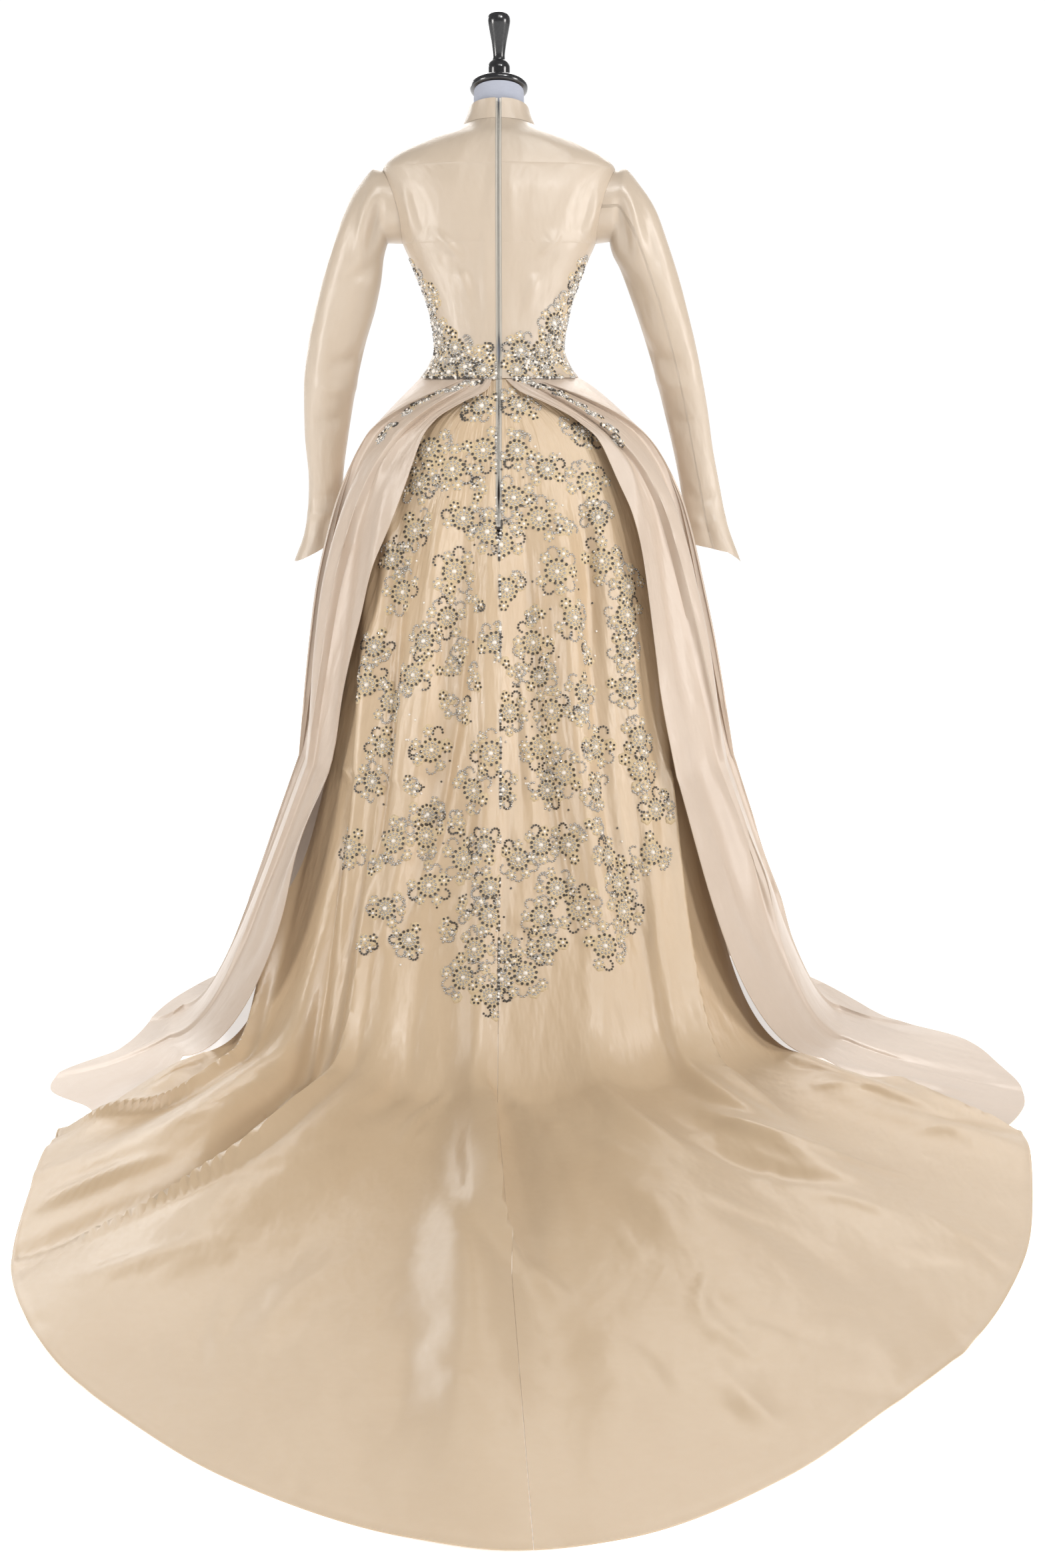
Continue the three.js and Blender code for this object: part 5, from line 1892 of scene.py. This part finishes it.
@dataclass
class Embroidery:
    """Bead flowers in loose sprays over the back panel, the waist and the hips."""

    draw: np.random.Generator = field(default_factory=lambda: np.random.default_rng(SEED + 1))
    rosette: float = 17.0
    bead: float = 2.5
    rosette_rings: tuple = (
        (1.0, 4.9, 11, Trim.STONE, 1.15),
        (0.66, 5.75, 12, Trim.CRYSTAL, 1.0),
        (0.36, 5.3, 7, Trim.CRYSTAL, 0.9),
        (0.0, 0.0, 1, Trim.PEARL, 1.7),
    )

    def ring(
        self, beads: Beads, cloth: Cloth, spot: Spot, middle: Flat, radius: float,
        arc: tuple[float, float, int], kind: Trim, size: float,
    ) -> None:
        """Sews beads along an arc round a point near a spot on the cloth.

        Args:
            beads: Where the beads are gathered.
            cloth: The cloth.
            spot: The spray's place on it.
            middle: The arc's middle, right of and below the spot.
            radius: The arc's radius.
            arc: Where it starts and ends, in radians, and its number of beads.
            kind: The kind of bead.
            size: A bead's radius.
        """
        start, end, count = arc
        angle = np.linspace(start, end, count)
        right = middle[0] + radius * np.cos(angle)
        down = middle[1] + radius * np.sin(angle)
        beads.sew(cloth, *cloth.walk(*spot, right, down), kind, size)

    def flower(
        self, beads: Beads, cloth: Cloth, spot: Spot, middle: Flat, size: float, kind: Trim
    ) -> None:
        """Sews a small flower: a ring of beads round a pearl.

        Args:
            beads: Where the beads are gathered.
            cloth: The cloth.
            spot: The spray's place on it.
            middle: The flower's middle, right of and below the spot.
            size: The ring's radius.
            kind: The ring's kind of bead.
        """
        count = 6 if size > 6 else 5
        turn = self.draw.uniform(0, math.tau)
        arc = (turn, turn + math.tau * (1 - 1 / count), count)
        self.ring(beads, cloth, spot, middle, size, arc, kind, self.bead * 0.95)
        self.ring(beads, cloth, spot, middle, 0, (0, 0, 1), Trim.PEARL, self.bead * 1.15)

    def spray(self, beads: Beads, cloth: Cloth, spot: Spot, scale: float, full: bool) -> None:
        """Sews one spray: a rosette, small flowers and scrolls on scalloped lace.

        Args:
            beads: Where the beads are gathered.
            cloth: The cloth.
            spot: The spray's place on it.
            scale: Its size beside the usual one.
            full: Whether it has a rosette, or small flowers alone.
        """
        draw, size = self.draw, self.rosette * scale
        turn = draw.uniform(0, math.tau)
        zero = (0.0, 0.0)
        if full:
            beads.patch(cloth, spot, size * 1.22, 9, turn)
            for share, sweep, count, kind, grade in self.rosette_rings:
                arc = (turn, turn + sweep, count)
                self.ring(beads, cloth, spot, zero, size * share, arc, kind, self.bead * grade)
        else:
            beads.patch(cloth, spot, size * 0.72, 6, turn)
            self.flower(beads, cloth, spot, zero, size * 0.42, Trim.CRYSTAL)
        bud = turn + 5.55
        far = size * (1.5 if full else 1.05)
        middle = (far * math.cos(bud), far * math.sin(bud))
        beads.patch(cloth, self.spot_near(cloth, spot, middle), size * 0.66, 5, bud)
        self.flower(beads, cloth, spot, middle, size * 0.4, Trim.STONE)
        ways = bud + np.array([1.3, 2.5, 3.6, 4.7]) + draw.normal(0, 0.25, 4)
        for way in ways[:4 if full else 2]:
            far = size * (draw.uniform(1.5, 1.85) if full else 1.05)
            middle = (far * math.cos(way), far * math.sin(way))
            beads.patch(cloth, self.spot_near(cloth, spot, middle), size * 0.56, 6, way)
            self.flower(beads, cloth, spot, middle, size * draw.uniform(0.34, 0.42), Trim.CRYSTAL)
            curl = way + draw.choice([-1, 1]) * 0.55
            far = size * (1.7 if full else 1.2)
            middle = (far * math.cos(curl), far * math.sin(curl))
            start = curl + draw.normal(0, 0.5) - 1.8
            kind = Trim.STONE if draw.random() < 0.35 else Trim.CRYSTAL
            arc = (start, start + 3.6, 7)
            self.ring(beads, cloth, spot, middle, size * 0.46, arc, kind, self.bead * 0.85)

    def spot_near(self, cloth: Cloth, spot: Spot, middle: Flat) -> Spot:
        """The grid place that is some way right of and below a spot."""
        row, column = cloth.walk(*spot, np.array([middle[0]]), np.array([middle[1]]))
        return int(round(float(row[0]))), int(round(float(column[0])))

    def scatter(self, beads: Beads, cloth: Cloth, seen: Flat) -> None:
        """Sews a single bead at a place seen from behind.

        Args:
            beads: Where the beads are gathered.
            cloth: The cloth.
            seen: The place.
        """
        row, column = cloth.nearest(Side.BACK, seen)
        kind = Trim.STONE if self.draw.random() < 0.5 else Trim.PEARL
        beads.sew(cloth, np.array([float(row)]), np.array([float(column)]), kind, self.bead * 0.8)


# Sprays on the back panel: level and places across, as seen from behind
PANEL_SPRAYS = (
    (979, (-26, 31)),
    (941, (128,)),
    (911, (-107, -24, 28)),
    (882, (-70, 74)),
    (860, (-122, 137)),
    (842, (22,)),
    (813, (-55, 62, 151)),
    (790, (-127, -18)),
    (772, (4,)),
    (750, (-162, 157)),
    (735, (-67, 88)),
    (710, (11, 197)),
    (700, (-147,)),
    (664, (-80, 114, 197)),
    (630, (-112, -8, 51)),
    (615, (-190, 196)),
    (576, (64, -130)),
    (560, (-202, 128, 193)),
    (530, (-166, 17, 81)),
    (470, (-178, -101, -13, 64, 146)),
    (480, (216,)),
    (432, (216, 100)),
    (408, (-195, -36, 5, 75, 146)),
    (367, (240, -110)),
    (335, (-160, -113, -19, 64, 105)),
    (309, (-231, -54, 28, 164, 234)),
    (272, (-107, -13, 87, 181)),
    (240, (-172, 122)),
    (231, (-13, 64, 187)),
    (194, (-136, 75, 158)),
    (185, (-36, 5)),
    (150, (-54, 5, 40)),
    (126, (-13,)),
)

# Between the sprays: single beads, tries at a small spray, its least gap, and more beside a large one
PANEL_SCATTER = 170
SMALL_TRIES = 900
SMALL_GAP = 34.0
LARGE_EXTRA = 12.0

# Sprays on the bodice back: level and distance from the zip, the same both sides but for a small shift
WAIST_SPRAYS = (
    (1176, 124), (1160, 112), (1142, 114), (1128, 96), (1112, 104), (1100, 84), (1088, 98),
    (1072, 90), (1066, 32), (1062, 66), (1046, 88), (1040, 52), (1034, 24), (1030, 100),
    (1028, 74),
)


def small_places(work: Embroidery, taken: list[Flat]) -> list[Flat]:
    """Places for small sprays in the gaps between the large ones, as seen from behind.

    Args:
        work: The embroidery, for its own order of chance.
        taken: Places of the large sprays.

    Returns:
        The new places.
    """
    found: list[Flat] = []
    for _ in range(SMALL_TRIES):
        level = work.draw.uniform(190, 940)
        place = (work.draw.uniform(-1, 1) * mix(225, 105, level / 940), level)
        gaps = [math.dist(place, other) - LARGE_EXTRA for other in taken]
        gaps += [math.dist(place, other) for other in found]
        if min(gaps) > SMALL_GAP:
            found.append(place)
    return found


def sew_panel(work: Embroidery, panels: dict[int, BackPanel]) -> None:
    """Embroiders the back panel, with sprays down to the floor and single beads between.

    Args:
        work: The embroidery.
        panels: The panel's halves by side.
    """
    beads = {side: Beads(f"panel_{panels[side].name}") for side in panels}
    for level, places in PANEL_SPRAYS:
        for x in places:
            side = -1 if x < 0 else 1
            cloth = panels[side].cloth
            spot = cloth.nearest(Side.BACK, (x, level))
            work.spray(beads[side], cloth, spot, work.draw.uniform(0.82, 1.05), True)
    taken = [(x, level) for level, places in PANEL_SPRAYS for x in places]
    for x, level in small_places(work, taken):
        side = -1 if x < 0 else 1
        cloth = panels[side].cloth
        work.spray(beads[side], cloth, cloth.nearest(Side.BACK, (x, level)), 0.8, False)
    for _ in range(PANEL_SCATTER):
        level = work.draw.uniform(160, 930)
        x = work.draw.uniform(-1, 1) * mix(240, 110, level / 930)
        side = -1 if x < 0 else 1
        work.scatter(beads[side], panels[side].cloth, (x, level))
    for side in panels:
        beads[side].build("satin")


def sew_bodice(work: Embroidery, bodice: Bodice) -> None:
    """Embroiders the waist and the sides of the bodice.

    Args:
        work: The embroidery.
        bodice: The bodice.
    """
    jobs = (
        ("waist_left", (-1,), Side.BACK, bodice.backs[-1]),
        ("waist_right", (1,), Side.BACK, bodice.backs[1]),
        ("waist_front", (-1, 1), Side.FRONT, bodice.backs[0]),
    )
    for name, sides, view, cloth in jobs:
        beads = Beads(name)
        for side in sides:
            for level, x in WAIST_SPRAYS:
                seen = (side * x + work.draw.normal(0, 2), level + work.draw.normal(0, 3))
                spot = cloth.nearest(view, seen)
                work.spray(beads, cloth, spot, 0.8, work.draw.random() < 0.6)
        beads.build("satin")


def sew_hips(work: Embroidery, halves: Sequence[Overskirt]) -> None:
    """Sews small sprays along the top tuck of each overskirt half.

    Args:
        work: The embroidery.
        halves: The overskirt's halves.
    """
    places = ((1012, 40), (1006, 66), (998, 92), (984, 120), (964, 146), (944, 170), (926, 186))
    for half in halves:
        beads = Beads(f"hip_{half.name}")
        for level, x in places:
            spot = half.cloth.nearest(Side.BACK, (half.side * x, level))
            work.spray(beads, half.cloth, spot, 0.56, False)
        beads.build("overskirt_satin")


@dataclass
class Studio:
    """A plain pale floor, soft studio light, and a camera behind the dress at standing height."""

    camera: tuple = (0.036, -3.463, 1.1)
    tilt: float = 11.92
    lens: float = 50.0
    film: float = 36.0
    floor_size: float = 40.0
    floor_colour: Colour = (0.96, 0.96, 0.96)
    floor_glow: float = 0.54
    sky: float = 1.05
    room: float = 0.3
    wall: tuple = (0.7, 0.93)
    sun_power: float = 1.2
    sun_spread: float = 9.0
    sun_turn: tuple = (57.0, 0.0, 30.0)
    lamps: tuple = (
        ("left_box", (-2.9, -1.5, 1.5), 0.9, 38.0, (1.0, 0.97, 0.94)),
        ("right_box", (3.0, -1.3, 1.7), 0.9, 40.0, (1.0, 0.97, 0.95)),
        ("top_box", (0.4, -2.6, 3.6), 1.0, 18.0, (1.0, 0.98, 0.96)),
        ("back_box", (0.1, 2.8, 3.3), 2.2, 98.0, (1.0, 0.98, 0.96)),
        ("front_left_box", (-2.4, 3.0, 2.0), 1.4, 30.0, (1.0, 1.0, 1.0)),
    )
    aim: tuple = (0.0, -0.4, 0.6)

    def build(self) -> None:
        """Builds the floor, lamps and camera."""
        half = self.floor_size / 2 / MM
        corners = np.array([[-half, -half, 0], [half, -half, 0], [half, half, 0], [-half, half, 0]])
        floor = mesh_object("floor", corners, np.array([[0, 1, 2, 3]]))
        shader = Shader("pale_floor")
        dust = shader.noise(shader.place(), 2.0, 2.0)
        shade = tuple(0.97 * part for part in self.floor_colour)
        shader.set(Base_Color=shader.blend(dust, self.floor_colour, shade), Roughness=0.7)
        shader.set(Emission_Color=(1.0, 1.0, 1.0), Emission_Strength=self.floor_glow)
        floor.data.materials.append(shader.material)
        for lamp in self.lamps:
            self.add_lamp(*lamp)
        self.add_sun()
        self.add_sky()
        self.add_camera()

    def add_lamp(
        self, name: str, place: Triple, size: float, power_w: float, colour: Colour
    ) -> None:
        """Adds a soft square lamp that looks at the dress.

        Args:
            name: The lamp's name.
            place: Where it stands, in metres.
            size: The length of its side.
            power_w: Its power in watts.
            colour: Its colour.
        """
        light = bpy.data.lights.new(name, "AREA")
        light.size = size
        light.energy = power_w
        light.color = colour
        lamp = bpy.data.objects.new(name, light)
        lamp.location = place
        lamp.visible_camera = False
        away = np.array(place) - np.array(self.aim)
        turn = math.atan2(away[0], -away[1])
        lamp.rotation_euler = (math.atan2(math.hypot(away[0], away[1]), away[2]), 0, turn)
        bpy.context.scene.collection.objects.link(lamp)

    def add_sun(self) -> None:
        """Adds the broad main light, behind the camera on the right."""
        light = bpy.data.lights.new("sun", "SUN")
        light.energy = self.sun_power
        light.angle = math.radians(self.sun_spread)
        lamp = bpy.data.objects.new("sun", light)
        lamp.rotation_euler = tuple(math.radians(part) for part in self.sun_turn)
        bpy.context.scene.collection.objects.link(lamp)

    def add_sky(self) -> None:
        """Makes the room: a white wall on the far side of the dress, dimmer all round."""
        world = bpy.data.worlds.new("studio")
        world.use_nodes = True
        nodes = NodeTree(world.node_tree)
        place = nodes.node("ShaderNodeTexCoord", {}, {}).outputs["Generated"]
        parts = nodes.node("ShaderNodeSeparateXYZ", {}, {0: place})
        inputs = {
            "Value": parts.outputs["Y"],
            "From Min": self.wall[0],
            "From Max": self.wall[1],
            "To Min": self.room,
            "To Max": self.sky,
        }
        glow = nodes.node("ShaderNodeMapRange", {"interpolation_type": "SMOOTHSTEP"}, inputs)
        background = world.node_tree.nodes["Background"]
        nodes.feed(background.inputs["Color"], (1.0, 1.0, 1.0))
        nodes.feed(background.inputs["Strength"], glow.outputs[0])
        bpy.context.scene.world = world
        bpy.context.scene.view_settings.view_transform = "Standard"

    def add_camera(self) -> None:
        """Adds the camera."""
        data = bpy.data.cameras.new("camera")
        data.lens = self.lens
        data.sensor_fit = "VERTICAL"
        data.sensor_height = self.film
        camera = bpy.data.objects.new("camera", data)
        camera.location = self.camera
        camera.rotation_euler = (math.radians(90 - self.tilt), 0, 0)
        bpy.context.scene.collection.objects.link(camera)
        bpy.context.scene.camera = camera


def main() -> None:
    """Builds the dress, its form and the studio."""
    logging.basicConfig(level=logging.INFO, format="%(message)s")
    Studio().build()
    DressForm().build()
    bodice = Bodice()
    bodice.build()
    Sleeve(-1, SLEEVE_LEFT, bodice, SLEEVE_CREASES_LEFT).build()
    Sleeve(1, SLEEVE_RIGHT, bodice, SLEEVE_CREASES_RIGHT).build()
    halves = [
        Overskirt(-1, OVERSKIRT_CREASES_LEFT, WING_CREASES),
        Overskirt(1, OVERSKIRT_CREASES_RIGHT, WING_CREASES),
    ]
    for half in halves:
        half.build()
    FrontSkirt().build()
    creases = train_creases()
    panels = {side: BackPanel(side, creases=PANEL_CREASES, floor_creases=creases) for side in (-1, 1)}
    for panel in panels.values():
        panel.build()
    Zip(bodice, panels[1]).build()
    work = Embroidery()
    sew_panel(work, panels)
    sew_bodice(work, bodice)
    sew_hips(work, halves)
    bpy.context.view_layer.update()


if __name__ == "__main__":
    main()
